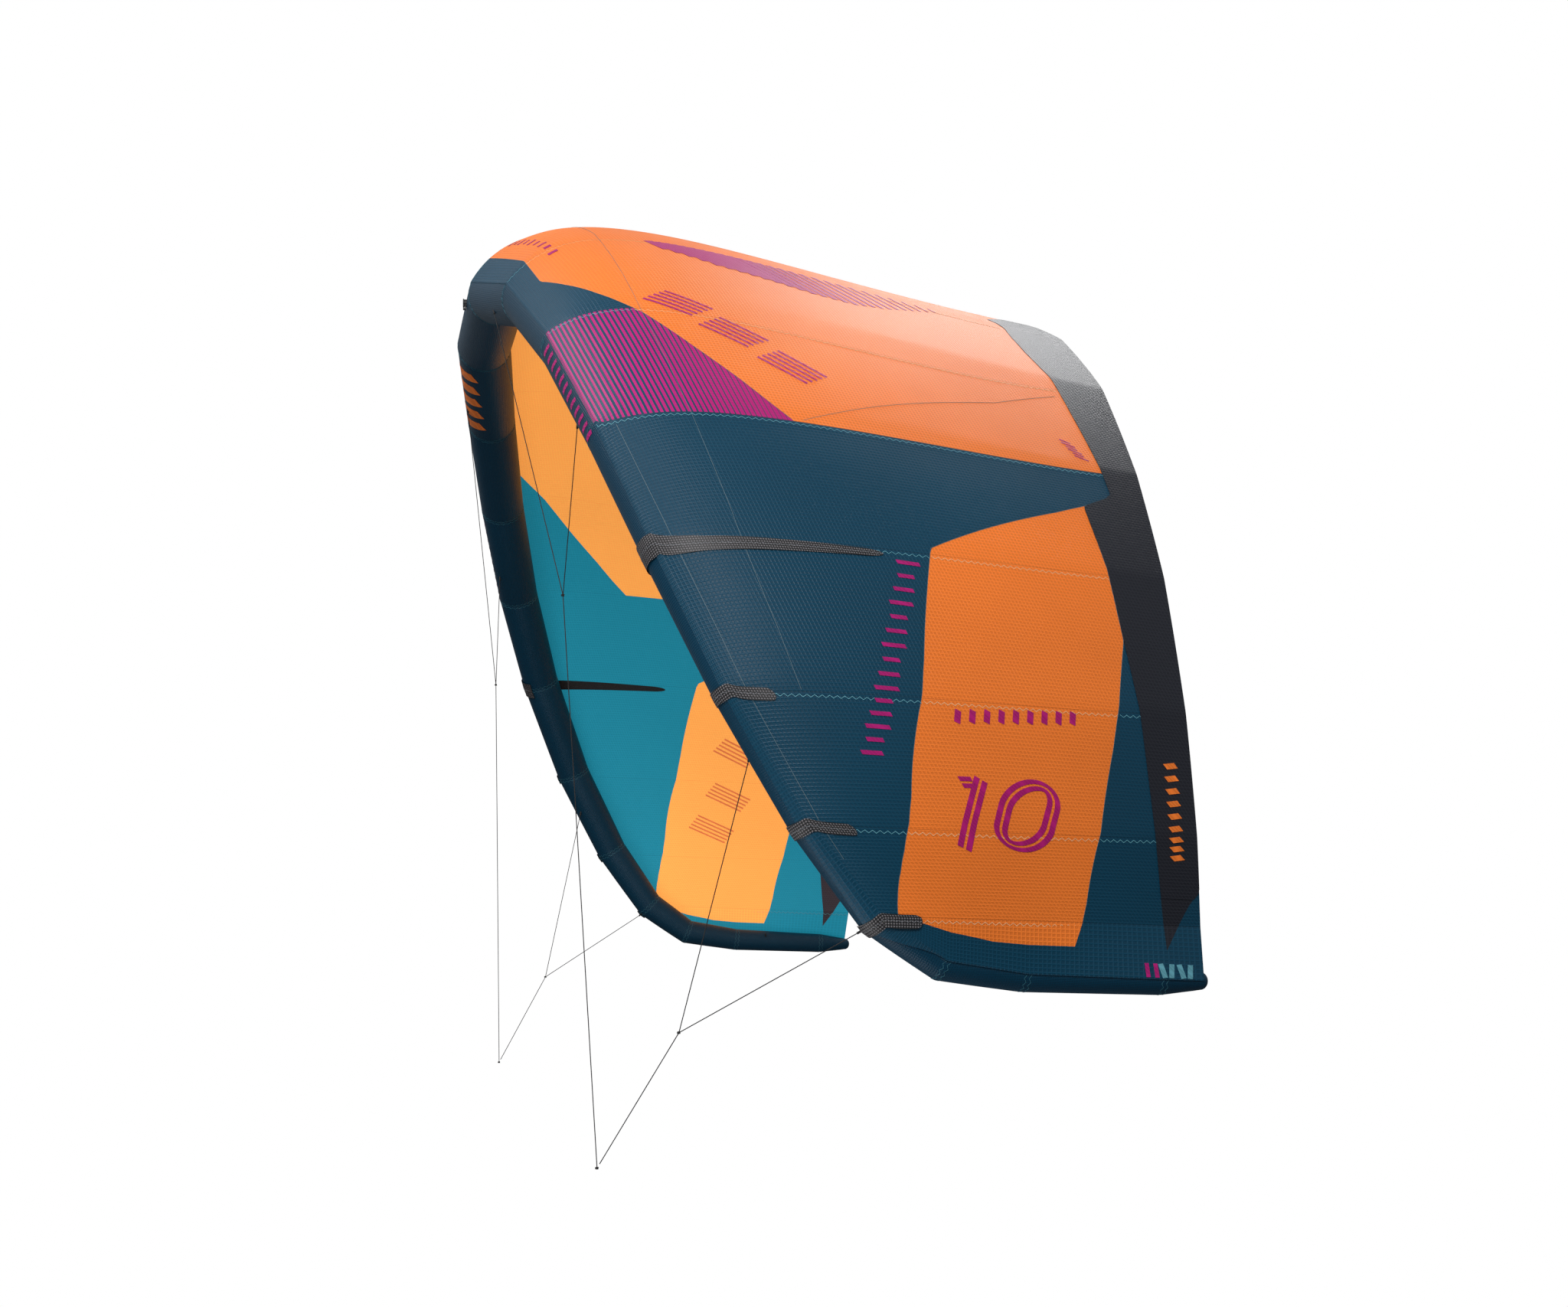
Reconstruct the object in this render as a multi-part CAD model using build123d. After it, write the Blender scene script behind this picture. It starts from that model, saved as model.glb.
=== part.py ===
from build123d import *
import os
import math

# Strutless kitesurf kite, 10 m2 flat area, in flying shape.
# X runs along the span, Y runs aft along the chord, Z runs up.
# The origin is on the axis of the leading edge tube, in the plane of symmetry.
# Everything is in millimetres and degrees.

# ---- leading edge tube ------------------------------------------------------
centre_half = 358.0  # half the length of the centre segment
span_lengths = [610.0, 525.0, 455.0, 410.0, 420.0, 360.0, 275.0]
tip_lengths = [190.0, 205.0, 350.0, 105.0]  # segments that turn aft at the tip
tip_sweeps = [54.0, 80.0, 86.5, 87.0]
roll_stations = 7.2  # station at which the span arc would hang straight down
roll_power = 1.15  # how early the arc turns down
sweep_start = 5.0
sweep_growth = 0.6  # added sweep, times the square of the segment's number
tip_toe = 3.0  # how far the tip segments lean inward
tube_radius = 90.0  # at the centre
tube_taper = 5.3  # lost at each station
tip_radius = 22.0
casing_wall = 2.0
bladder_wall = 1.5
seat_gap = 0.3  # clearance between soft pieces that lie on each other

# ---- canopy -----------------------------------------------------------------
canopy_wall = 1.2
trailing_y = 1595.0  # where the trailing edge lies, aft of the tube's axis
trailing_bulge = 85.0  # further aft at the centre
trailing_bulge_power = 2.5
trailing_narrowing = 0.97  # span of the trailing edge over that of the tube
# one value for each seam from the centre segment to the tip panel:
trailing_drops = [45.0, 78.0, 75.0, 78.0, 60.0, 55.0, 50.0, 44.0]  # below the tube's axis
leave_angles = [-62.0, -60.0, -56.0, -50.0, -43.0, -35.0, -24.0, -8.0]  # forward of the crown
nose_reaches = [0.20, 0.20, 0.19, 0.17, 0.15, 0.14, 0.13, 0.13]  # first tangent, of the chord
tail_reaches = [0.64, 0.68, 0.60, 0.55, 0.50, 0.50, 0.50, 0.50]  # last tangent, of the chord
tail_angles = [6.7, 7.5, 7.0, 6.5, 6.0, 6.0, 5.0, 5.0]
tip_leave_angle = 5.0
tip_bars = 4  # straight spans of the tip panel on each tip segment
tip_gap = 1.0  # between the tube and the tip panel

# ---- trailing edge band and load patches ------------------------------------
band_width = 90.0
band_wall = 1.0
band_gap = 0.6  # between the canopy and the band
patch_wall = 1.0
long_patch_seams = [4]
long_patch_share = 0.39  # length over the local chord
long_patch_width = 46.0
long_patch_end = 22.0
wrap_width = 66.0
short_patch_seams = [5, 6, 7]
short_patch_length = 95.0
short_patch_width = 34.0
short_wrap_width = 40.0
long_wrap_angle = -150.0  # around the tube, where the patch ends
short_wrap_angle = -97.0

# ---- inflation valve --------------------------------------------------------
valve_to_seam = 108.0  # from the valve to the centre segment's right seam
valve_x = centre_half - valve_to_seam
flange_radius = 30.0
flange_wall = 1.2
neck_radius = 12.0
neck_height = 8.0  # above the tube's surface
valve_bore = 5.0
cap_radius = 14.0
cap_wall = 3.0
plug_depth = 3.0
plug_clearance = 0.4
hinge_radius = 1.5
hinge_clearance = 0.3
hinge_drop = 18.0  # hinge pin below the axis of the neck
hinge_width = 8.0

# ---- bridle -----------------------------------------------------------------
line_radius = 1.25
becket_radius = 3.0
becket_length = 14.0
knot_radius = 6.0
line_gap = 0.4  # between a line's end and what it is tied to
open_gap = 12.0  # at the front knot, where the closed bridle is opened
# each leg: segment of the tube, share of its length, angle around the tube
anchors = [(1, 0.68, -120.0), (3, 0.66, -138.0), (6, 0.41, -140.0), (7, 1.0, -115.0)]
upper_joint_out = 1440.0
upper_joint_aft = 100.0
upper_joint_drop = 1069.0
lower_joint_out = 1974.0
lower_joint_aft = 323.0
lower_joint_drop = 2195.0
front_knot_out = 1882.0
front_knot_aft = 131.0
front_knot_drop = 2520.0
upper_joint = Vector(upper_joint_out, upper_joint_aft, -upper_joint_drop)
lower_joint = Vector(lower_joint_out, lower_joint_aft, -lower_joint_drop)
front_knot = Vector(front_knot_out, front_knot_aft, -front_knot_drop)
rear_loop_segment = 10
rear_loop_share = 0.33
rear_loop_angle = 150.0
rear_loop_radius = 6.0
rear_loop_wire = 2.0

os.makedirs("parts", exist_ok=True)


# The tube's axis: straight segments whose roll and sweep grow toward the tip.
def tube_axis():
    points = [Vector(centre_half, 0, 0)]
    for number, length in enumerate(span_lengths, 1):
        roll = math.radians(90 * (1 - (1 - number / roll_stations) ** roll_power))
        sweep = math.radians(sweep_start + sweep_growth * number**2)
        flat = math.cos(sweep)
        step = Vector(math.cos(roll) * flat, math.sin(sweep), -math.sin(roll) * flat)
        points.append(points[-1] + step * length)
    toe = math.radians(tip_toe)
    for length, angle in zip(tip_lengths, tip_sweeps):
        sweep = math.radians(angle)
        reach = math.sin(sweep)
        step = Vector(-math.sin(toe) * reach, math.cos(toe) * reach, -math.cos(sweep))
        points.append(points[-1] + step * length)
    return points


axis_points = tube_axis()
last_station = len(axis_points) - 1
last_seam = len(span_lengths)  # the last station with a seam across the chord


def radius_at(station):
    return tip_radius if station == last_station else tube_radius - tube_taper * station


# The trailing edge on each seam, aft of and a little below the tube.
def trailing_point(station):
    share = 1 - station / last_seam
    centre = axis_points[station]
    return Vector(
        centre.X * trailing_narrowing,
        trailing_y + trailing_bulge * share**trailing_bulge_power,
        centre.Z - trailing_drops[station],
    )


# A station's frame: its centre, the tube's direction, the crown and the aft side.
def station_frame(station):
    centre = axis_points[station]
    before = centre - axis_points[station - 1] if station else Vector(1, 0, 0)
    after = before if station == last_station else axis_points[station + 1] - centre
    travel = (before.normalized() + after.normalized()).normalized()
    aim = trailing_point(station) - centre if station <= last_seam else Vector(0, 0, 1)
    crown = travel.cross(aim).normalized()
    return centre, travel, crown, crown.cross(travel).normalized()


frames = [station_frame(station) for station in range(last_station + 1)]


# A ring of the tube, in the mitre plane between two segments.
def ring(station, radius, back=0.0):
    centre, travel, crown, _ = frames[station]
    return Wire.make_circle(radius, Plane(centre - travel * back, x_dir=crown, z_dir=travel))


def to_left(point):
    return Vector(-point.X, point.Y, point.Z)


def flipped_ring(station, radius, back=0.0):
    centre, travel, crown, _ = frames[station]
    plane = Plane(to_left(centre - travel * back), x_dir=to_left(crown), z_dir=-to_left(travel))
    return Wire.make_circle(radius, plane)


# A layer around the tube between two radii, measured from the casing's surface.
def tube_layer(first, last, inner, outer, end_back=0.0):
    stations = range(first, last + 1)
    backs = {last: end_back} if last == last_station else {}
    skin = Solid.make_loft([ring(n, radius_at(n) + outer) for n in stations], True)
    core = Solid.make_loft([ring(n, radius_at(n) + inner, backs.get(n, 0)) for n in stations], True)
    return skin - core


def centre_layer(inner, outer):
    wires = [flipped_ring(0, radius_at(0) + outer), ring(0, radius_at(0) + outer)]
    cores = [flipped_ring(0, radius_at(0) + inner), ring(0, radius_at(0) + inner)]
    return Solid.make_loft(wires, True) - Solid.make_loft(cores, True)


# The whole bladder: one sealed tube inside all casing segments.
def bladder_tube(inset, end_back):
    right = range(last_station + 1)
    left = reversed(right)
    backs = {last_station: end_back}
    wires = [flipped_ring(n, radius_at(n) - inset, backs.get(n, 0)) for n in left]
    wires += [ring(n, radius_at(n) - inset, backs.get(n, 0)) for n in right]
    return Solid.make_loft(wires, True)


# The canopy's section on a seam: a cubic that leaves the tube at a tangent.
def section_points(station):
    centre, _, crown, aft = frames[station]
    angle = math.radians(leave_angles[station])
    lift = radius_at(station) + seat_gap + canopy_wall
    start = centre + (aft * math.sin(angle) + crown * math.cos(angle)) * lift
    tail = trailing_point(station)
    chord = (tail - start).length
    along = ((tail - start) - crown * (tail - start).dot(crown)).normalized()
    leave = along * math.cos(angle) - crown * math.sin(angle)
    line = (tail - start).normalized()
    rise = (crown - line * crown.dot(line)).normalized()
    slope = math.radians(tail_angles[station])
    arrive = line * math.cos(slope) - rise * math.sin(slope)
    return [
        start,
        start + leave * chord * nose_reaches[station],
        tail - arrive * chord * tail_reaches[station],
        tail,
    ]


# The same section moved outward, or inward where the offset is negative.
def offset_section(station, offset):
    start, first, second, tail = section_points(station)
    crown = frames[station][2]
    leave = (first - start).normalized()
    arrive = (tail - second).normalized()
    start_side = (crown - leave * crown.dot(leave)).normalized()
    tail_side = (crown - arrive * crown.dot(arrive)).normalized()
    return [
        start + start_side * offset,
        first + start_side * offset,
        second + tail_side * offset,
        tail + tail_side * offset,
    ]


def bezier_at(points, share):
    rest = 1 - share
    return (
        points[0] * rest**3
        + points[1] * 3 * share * rest**2
        + points[2] * 3 * share**2 * rest
        + points[3] * share**3
    )


# The last stretch of a cubic, from a share of its length on.
def curve_after(points, share):
    rest = [points]
    while len(rest[-1]) > 1:
        row = rest[-1]
        rest.append([a * (1 - share) + b * share for a, b in zip(row, row[1:])])
    return [row[-1] for row in reversed(rest)]


def section_wire(station, low, high, left=False, share=0.0):
    upper = curve_after(offset_section(station, high), share)
    lower = curve_after(offset_section(station, low), share)
    if left:
        upper = [to_left(point) for point in upper]
        lower = [to_left(point) for point in lower]
    return Wire(
        [
            Edge.make_bezier(*upper),
            Edge.make_line(upper[-1], lower[-1]),
            Edge.make_bezier(*reversed(lower)),
            Edge.make_line(lower[0], upper[0]),
        ]
    )


def canopy_layer(station, low, high):
    return Solid.make_loft(
        [section_wire(station - 1, low, high), section_wire(station, low, high)], True
    )


def quad(points, left=False):
    corners = [to_left(point) for point in points] if left else points
    return Wire.make_polygon(corners, close=True)


# The tip panel: upright bars between the last seam and the tube.
def tip_bar(position):
    first = min(int(position), last_station - 1)
    share = position - first
    rings = [frames[first], frames[first + 1]]
    centre, _, crown, aft = [a * (1 - share) + b * share for a, b in zip(*rings)]
    radius = radius_at(first) * (1 - share) + radius_at(first + 1) * share
    seam_angle = leave_angles[-1]
    angle = math.radians(seam_angle + (tip_leave_angle - seam_angle) * min(1, position - last_seam))
    lift = radius + tip_gap + canopy_wall
    low = centre + (aft * math.sin(angle) + crown * math.cos(angle)) * lift
    curve = section_points(last_seam)
    near, far = 0.0, 1.0
    for _ in range(40):
        middle = (near + far) / 2
        if bezier_at(curve, middle).Y < low.Y:
            near = middle
        else:
            far = middle
    seam_travel = frames[last_seam][1]
    high = bezier_at(curve, near) + seam_travel * seat_gap
    wall = crown.normalized() * -canopy_wall
    down = low - high
    back = max(0, -wall.dot(seam_travel) / down.dot(seam_travel))
    return quad([high, low, low + wall, high + wall + down * back])


def tip_panel():
    count = (last_station - last_seam) * tip_bars
    bars = [tip_bar(last_seam + number / tip_bars) for number in range(1, count + 1)]
    return Solid.make_loft(bars, True)


# The trailing edge band: a doubler sewn on top of the canopy's last stretch.
def band_wire(station, left=False):
    start, _, _, tail = section_points(station)
    share = 1 - band_width / (tail - start).length
    return section_wire(station, band_gap, band_gap + band_wall, left, share)


def trailing_band():
    stations = range(last_seam + 1)
    wires = [band_wire(n, left=True) for n in reversed(stations)]
    wires += [band_wire(n) for n in stations]
    return Solid.make_loft(wires, True)


# A tapered tongue seen from above, from the canopy's front edge along a seam.
def tongue_prism(station, length, width, end_width):
    start, _, _, tail = section_points(station)
    crown = frames[station][2]
    line = tail - start
    line = (line - crown * line.dot(crown)).normalized()
    face_plane = Plane(start + crown * 400, x_dir=line, z_dir=crown)
    half, end = width / 2, end_width / 2
    outline = Polyline(
        (-2, -half), (length - end, -end), (length - end, end), (-2, half), close=True
    )
    tongue = make_face(outline) + Pos(length - end, 0) * Circle(end)
    return extrude(face_plane * tongue, amount=-800)


# A band around the tube's front, from the canopy's edge down to the underside.
def wrap_prism(station, width, end_angle):
    centre, travel, crown, aft = frames[station]
    start, _, _, _ = section_points(station)
    offset = start - centre
    top = math.degrees(math.atan2(offset.dot(aft), offset.dot(crown))) + 0.5
    plane = Plane(centre - travel * width / 2, x_dir=crown, z_dir=travel)
    side = 1 if plane.y_dir.dot(aft) > 0 else -1
    reach = radius_at(station) * 2.5
    turns = [top + (end_angle - top) * n / 3 for n in range(4)]
    corners = [(0, 0)]
    for turn in turns:
        angle = math.radians(turn)
        corners.append((reach * math.cos(angle), side * reach * math.sin(angle)))
    return extrude(plane * make_face(Polyline(*corners, close=True)), amount=width)


# A load patch over a seam: its tongue on the canopy and its wrap around the tube.
def load_patch(station, tongue, wrap):
    patch = canopy_layer(station, seat_gap, seat_gap + patch_wall) & tongue
    if station < last_seam:
        patch += canopy_layer(station + 1, seat_gap, seat_gap + patch_wall) & tongue
    lift = seat_gap * 2 + canopy_wall
    patch += tube_layer(station - 1, station, lift, lift + patch_wall) & wrap
    patch += tube_layer(station, station + 1, lift, lift + patch_wall) & wrap
    return patch


# The long patch is backed by a tongue on the canopy's inner face.
def inner_tongue(station, tongue):
    low = -canopy_wall - seat_gap - patch_wall
    strip = canopy_layer(station, low, low + patch_wall) & tongue
    strip += canopy_layer(station + 1, low, low + patch_wall) & tongue
    return strip - solid_tube(station - 1, station + 1)


def rod(start, end, radius):
    way = end - start
    return Solid.make_cylinder(radius, way.length, Plane(start, z_dir=way))


# Inflation valve on the front of the centre segment; its mouth points forward.
def valve_pieces():
    surface = tube_radius
    mouth = surface + neck_height
    forward = Plane((valve_x, 0, 0), x_dir=(1, 0, 0), z_dir=(0, -1, 0))
    under = -casing_wall - seat_gap
    flange = centre_layer(under - flange_wall, under) & (
        forward * extrude(Circle(flange_radius), amount=mouth)
    )
    floor = surface + under - flange_wall
    neck = forward * Pos(0, 0, floor) * extrude(Circle(neck_radius), amount=mouth - floor)
    bore = forward * extrude(Circle(valve_bore), amount=mouth)
    hinge = forward * Pos(0, -hinge_drop, mouth)
    knuckle_radius = hinge_radius * 2 + hinge_clearance
    lug_wall = hinge_radius * 2
    lug_side = hinge_width / 2 + hinge_clearance + lug_wall / 2
    body = flange + neck
    for side in (-1, 1):
        body += hinge * Pos(side * lug_side, 0, -hinge_radius) * Box(
            lug_wall, 4 * hinge_radius, 5 * hinge_radius
        )
        body += hinge * Pos(side * lug_side, (hinge_drop - neck_radius) / 2 + 1, -3 * hinge_radius) * Box(
            lug_wall, hinge_drop - neck_radius + 2, 2 * hinge_radius
        )
    pin_length = hinge_width + 2 * hinge_clearance + 2 * lug_wall
    body += hinge * Rot(0, 90, 0) * Cylinder(hinge_radius, pin_length)
    body -= bore
    cap = forward * Pos(0, 0, mouth) * extrude(Circle(cap_radius), amount=cap_wall)
    plug = forward * Pos(0, 0, mouth - plug_depth) * extrude(
        Circle(valve_bore - plug_clearance), amount=plug_depth
    )
    arm = hinge * Pos(0, (hinge_drop - cap_radius) / 2 + 1, cap_wall / 2) * Box(
        hinge_width, hinge_drop - cap_radius + 2, cap_wall
    )
    knuckle = hinge * Rot(0, 90, 0) * Cylinder(knuckle_radius, hinge_width)
    hole = hinge * Rot(0, 90, 0) * Cylinder(hinge_radius + hinge_clearance, hinge_width)
    return body, cap + plug + arm + knuckle - hole


# Where a leg of the bridle is sewn to the tube, and the solid tube around it.
def anchor(segment, share, angle):
    first, last = frames[segment - 1], frames[segment]
    centre, _, crown, aft = [a * (1 - share) + b * share for a, b in zip(first, last)]
    radius = radius_at(segment - 1) * (1 - share) + radius_at(segment) * share
    turn = math.radians(angle)
    side = (aft * math.sin(turn) + crown * math.cos(turn)).normalized()
    return centre + side * radius, side


def solid_tube(first, last):
    rings = [ring(n, radius_at(n) + seat_gap) for n in range(first, last + 1)]
    return Solid.make_loft(rings, True)


def becket(spec, aim):
    foot, side = anchor(*spec)
    way = (aim - foot).normalized()
    end = foot + side * seat_gap + way * becket_length
    body = rod(foot - way * becket_radius, end, becket_radius)
    segment = spec[0]
    return body - solid_tube(segment - 1, min(segment + 1, last_station)), end


# A leg runs from its becket to the knot where the bridle's lines meet.
def leg(start, knot):
    way = (knot - start).normalized()
    return rod(start + way * line_gap, knot - way * (knot_radius + line_gap), line_radius)


def main_line(knot, end, gap):
    way = (end - knot).normalized()
    return rod(knot, end - way * gap, line_radius) + Pos(knot) * Sphere(knot_radius)


def rear_loop():
    foot, side = anchor(rear_loop_segment, rear_loop_share, rear_loop_angle)
    middle = foot + side * (seat_gap + rear_loop_radius + rear_loop_wire)
    return Plane(middle, z_dir=side.cross(Vector(0, 0, 1))) * Torus(
        rear_loop_radius, rear_loop_wire
    )


written = {}


def save(name, pieces):
    shapes = pieces if isinstance(pieces, list) else [pieces]
    solids = [solid for shape in shapes for solid in shape.solids()]
    part = solids[0] if len(solids) == 1 else Compound(children=solids)
    export_step(part, f"parts/{name}.step")
    written[name] = solids


def save_sides(name, pieces):
    shapes = pieces if isinstance(pieces, list) else [pieces]
    save(f"{name}_right", shapes)
    save(f"{name}_left", [mirror(shape, about=Plane.YZ) for shape in shapes])


# ---- leading edge ----
valve_body, valve_cap = valve_pieces()
valve_hole = Pos(valve_x, -tube_radius, 0) * Rot(90, 0, 0) * Cylinder(
    neck_radius + seat_gap, 2 * neck_radius
)
save("le_casing_centre", centre_layer(-casing_wall, 0) - valve_hole)
for number in range(1, last_seam + 1):
    save_sides(f"le_casing_{number}", tube_layer(number - 1, number, -casing_wall, 0))
save_sides("le_casing_tip", tube_layer(last_seam, last_station, -casing_wall, 0, casing_wall))
bladder_inset = casing_wall + seat_gap + flange_wall + seat_gap
bladder_back = casing_wall + seat_gap
bladder = bladder_tube(bladder_inset, bladder_back) - bladder_tube(
    bladder_inset + bladder_wall, bladder_back + bladder_wall
)
bladder_hole = Pos(valve_x, -tube_radius, 0) * Rot(90, 0, 0) * Cylinder(
    valve_bore, 2 * neck_radius
)
save("bladder", bladder - bladder_hole)
save("valve_body", valve_body)
save("valve_cap", valve_cap)

# ---- canopy ----
centre_wires = [section_wire(0, -canopy_wall, 0, left=True), section_wire(0, -canopy_wall, 0)]
save("canopy_centre", Solid.make_loft(centre_wires, True))
for number in range(1, last_seam + 1):
    save_sides(f"canopy_strip_{number}", canopy_layer(number, -canopy_wall, 0))
save_sides("canopy_tip", tip_panel())
save("trailing_band", trailing_band())

# ---- load patches ----
for station in long_patch_seams:
    long_start, _, _, long_tail = section_points(station)
    long_length = (long_tail - long_start).length * long_patch_share
    tongue = tongue_prism(station, long_length, long_patch_width, long_patch_end)
    wrap = wrap_prism(station, wrap_width, long_wrap_angle)
    save_sides("load_patch_long", load_patch(station, tongue, wrap))
    save_sides("load_patch_inner", inner_tongue(station, tongue))
short_patches = []
for station in short_patch_seams:
    tongue = tongue_prism(station, short_patch_length, short_patch_width, short_patch_width)
    wrap = wrap_prism(station, short_wrap_width, short_wrap_angle)
    short_patches.append(load_patch(station, tongue, wrap))
save_sides("load_patches_short", short_patches)

# ---- bridle ----
joints = [upper_joint, upper_joint, lower_joint, lower_joint]
names = ["upper_leg_inner", "upper_leg_outer", "lower_leg_inner", "lower_leg_outer"]
beckets = []
for name, spec, knot in zip(names, anchors, joints):
    body, start = becket(spec, knot)
    beckets.append(body)
    save_sides(name, leg(start, knot))
    print("hinge point", name, [round(value, 3) for value in start])
save("bridle_beckets", beckets + [mirror(body, about=Plane.YZ) for body in beckets])
save_sides("upper_main", main_line(upper_joint, front_knot, knot_radius + line_gap))
save_sides("lower_main", main_line(lower_joint, front_knot, open_gap))
save_sides("front_knot", Pos(front_knot) * Sphere(knot_radius))
loop = rear_loop()
save("rear_line_loops", [loop, mirror(loop, about=Plane.YZ)])
print("rear loop", loop.center())
print(len(written), "nodes,", sum(len(solids) for solids in written.values()), "solids")
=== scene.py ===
import bpy
import math
import numpy as np
from mathutils import Matrix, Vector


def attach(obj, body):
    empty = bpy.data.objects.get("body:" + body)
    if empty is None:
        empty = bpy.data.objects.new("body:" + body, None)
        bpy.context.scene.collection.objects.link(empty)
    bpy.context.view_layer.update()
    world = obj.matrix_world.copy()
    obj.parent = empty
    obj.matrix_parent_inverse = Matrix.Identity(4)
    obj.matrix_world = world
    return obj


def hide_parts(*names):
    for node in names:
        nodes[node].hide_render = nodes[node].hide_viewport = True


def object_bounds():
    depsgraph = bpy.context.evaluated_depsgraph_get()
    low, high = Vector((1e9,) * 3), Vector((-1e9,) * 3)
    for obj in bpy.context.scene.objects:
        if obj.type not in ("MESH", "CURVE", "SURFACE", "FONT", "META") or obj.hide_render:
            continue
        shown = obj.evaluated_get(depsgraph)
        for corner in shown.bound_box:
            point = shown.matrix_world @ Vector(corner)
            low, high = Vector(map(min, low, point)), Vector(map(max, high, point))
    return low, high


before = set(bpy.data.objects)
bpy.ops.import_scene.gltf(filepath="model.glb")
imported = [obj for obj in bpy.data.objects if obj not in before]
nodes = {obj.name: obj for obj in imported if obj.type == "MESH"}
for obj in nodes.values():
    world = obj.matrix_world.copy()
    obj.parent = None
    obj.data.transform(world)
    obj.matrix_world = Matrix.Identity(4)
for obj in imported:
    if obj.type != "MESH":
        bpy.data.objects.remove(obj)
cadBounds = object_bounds()
sides = (("right", 1.0), ("left", -1.0))
print("frame loaded:", len(nodes), "nodes")

# Camera.
cameraView = {
    "place": (7.9, -0.479, -1.842),
    "right": (0.17698315, 0.98406843, -0.01691999),
    "up": (0.09516833, 0.0, 0.99546119),
    "back": (0.97960194, -0.17779011, -0.09365215),
    "lens": 56.25,
    "sensor": 36.0,
}
cameraData = bpy.data.cameras.new("camera")
cameraData.lens = cameraView["lens"]
cameraData.sensor_width = cameraView["sensor"]
cameraData.clip_end = 200.0
camera = bpy.data.objects.new("camera", cameraData)
bpy.context.scene.collection.objects.link(camera)
turn = Matrix((cameraView["right"], cameraView["up"], cameraView["back"])).transposed()
camera.matrix_world = Matrix.Translation(cameraView["place"]) @ turn.to_4x4()
bpy.context.scene.camera = camera
bpy.context.scene.view_settings.view_transform = "Standard"

# The wing's shape: the same values as the solids, in metres and degrees.
wing = {
    "centreHalf": 0.358,
    "spanLengths": [0.610, 0.525, 0.455, 0.410, 0.420, 0.360, 0.275],
    "tipLengths": [0.190, 0.205, 0.350, 0.105],
    "tipSweeps": [54.0, 80.0, 86.5, 87.0],
    "rollStations": 7.2,
    "rollPower": 1.15,
    "sweepStart": 5.0,
    "sweepGrowth": 0.6,
    "tipToe": 3.0,
    "tubeRadius": 0.090,
    "tubeTaper": 0.0053,
    "tipRadius": 0.022,
    "trailingY": 1.595,
    "trailingBulge": 0.085,
    "trailingBulgePower": 2.5,
    "trailingNarrowing": 0.97,
    "trailingDrops": [0.045, 0.078, 0.075, 0.078, 0.060, 0.055, 0.050, 0.044],
    "leaveAngles": [-62.0, -60.0, -56.0, -50.0, -43.0, -35.0, -24.0, -8.0],
    "noseReaches": [0.20, 0.20, 0.19, 0.17, 0.15, 0.14, 0.13, 0.13],
    "tailReaches": [0.64, 0.68, 0.60, 0.55, 0.50, 0.50, 0.50, 0.50],
    "tailAngles": [6.7, 7.5, 7.0, 6.5, 6.0, 6.0, 5.0, 5.0],
    "tipLeaveAngle": 5.0,
    "tipJoinAngle": 2.0,
    "tipExtraLift": 0.0008,
    "skinLift": 0.0022,  # canopy cloth over the tube's axis line radius
    "joinAngles": [-66.0, -64.0, -60.0, -56.0, -54.0, -54.0, -56.0, -66.0],  # stitched front edge
    "wrapReach": 0.04,  # metres that the wrap round the tube counts as in patterns
    "smoothFrom": 0.02,  # shares of the section between which the cloth eases into smooth curves
    "smoothTo": 0.3,
    "smoothShare": 0.9,
    "tailFrom": 0.5,
    "tailStraight": 0.55,  # how much straighter the trailing edge runs between two seams
    "seamBows": [0.04, 0.10, 0.12, 0.057, 0.036, 0.030, 0.020, 0.0],  # seams lie lower down the span
    "seamSkews": [1.8, 1.8, 1.8, 1.0, 1.0, 1.0, 1.0, 1.0],
}
seamCount = len(wing["spanLengths"])
tipStation = seamCount + len(wing["tipLengths"])
mirrorX = np.array([-1.0, 1.0, 1.0])


# Corner points of the tube's axis: each segment turns down by the roll rule and aft by the sweep rule.
def tubeAxis():
    points = [np.array([wing["centreHalf"], 0.0, 0.0])]
    for number, length in enumerate(wing["spanLengths"], 1):
        roll = math.radians(90 * (1 - (1 - number / wing["rollStations"]) ** wing["rollPower"]))
        sweep = math.radians(wing["sweepStart"] + wing["sweepGrowth"] * number**2)
        step = [math.cos(roll) * math.cos(sweep), math.sin(sweep), -math.sin(roll) * math.cos(sweep)]
        points.append(points[-1] + np.array(step) * length)
    toe = math.radians(wing["tipToe"])
    for length, angle in zip(wing["tipLengths"], wing["tipSweeps"]):
        sweep = math.radians(angle)
        step = [-math.sin(toe) * math.sin(sweep), math.cos(toe) * math.sin(sweep), -math.cos(sweep)]
        points.append(points[-1] + np.array(step) * length)
    return np.array(points)


# A vector divided by its own length.
def unit(vector):
    return vector / np.maximum(np.linalg.norm(vector, axis=-1, keepdims=True), 1e-12)


axisPoints = tubeAxis()
radii = wing["tubeRadius"] - wing["tubeTaper"] * np.arange(tipStation + 1.0)
radii[-1] = wing["tipRadius"]


# End of the section at a seam: a bulging trailing edge, narrower than the tube's arch.
def trailingPoint(station):
    share = 1 - station / seamCount
    centre = axisPoints[station]
    return np.array([
        centre[0] * wing["trailingNarrowing"],
        wing["trailingY"] + wing["trailingBulge"] * share ** wing["trailingBulgePower"],
        centre[2] - wing["trailingDrops"][station],
    ])


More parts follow.
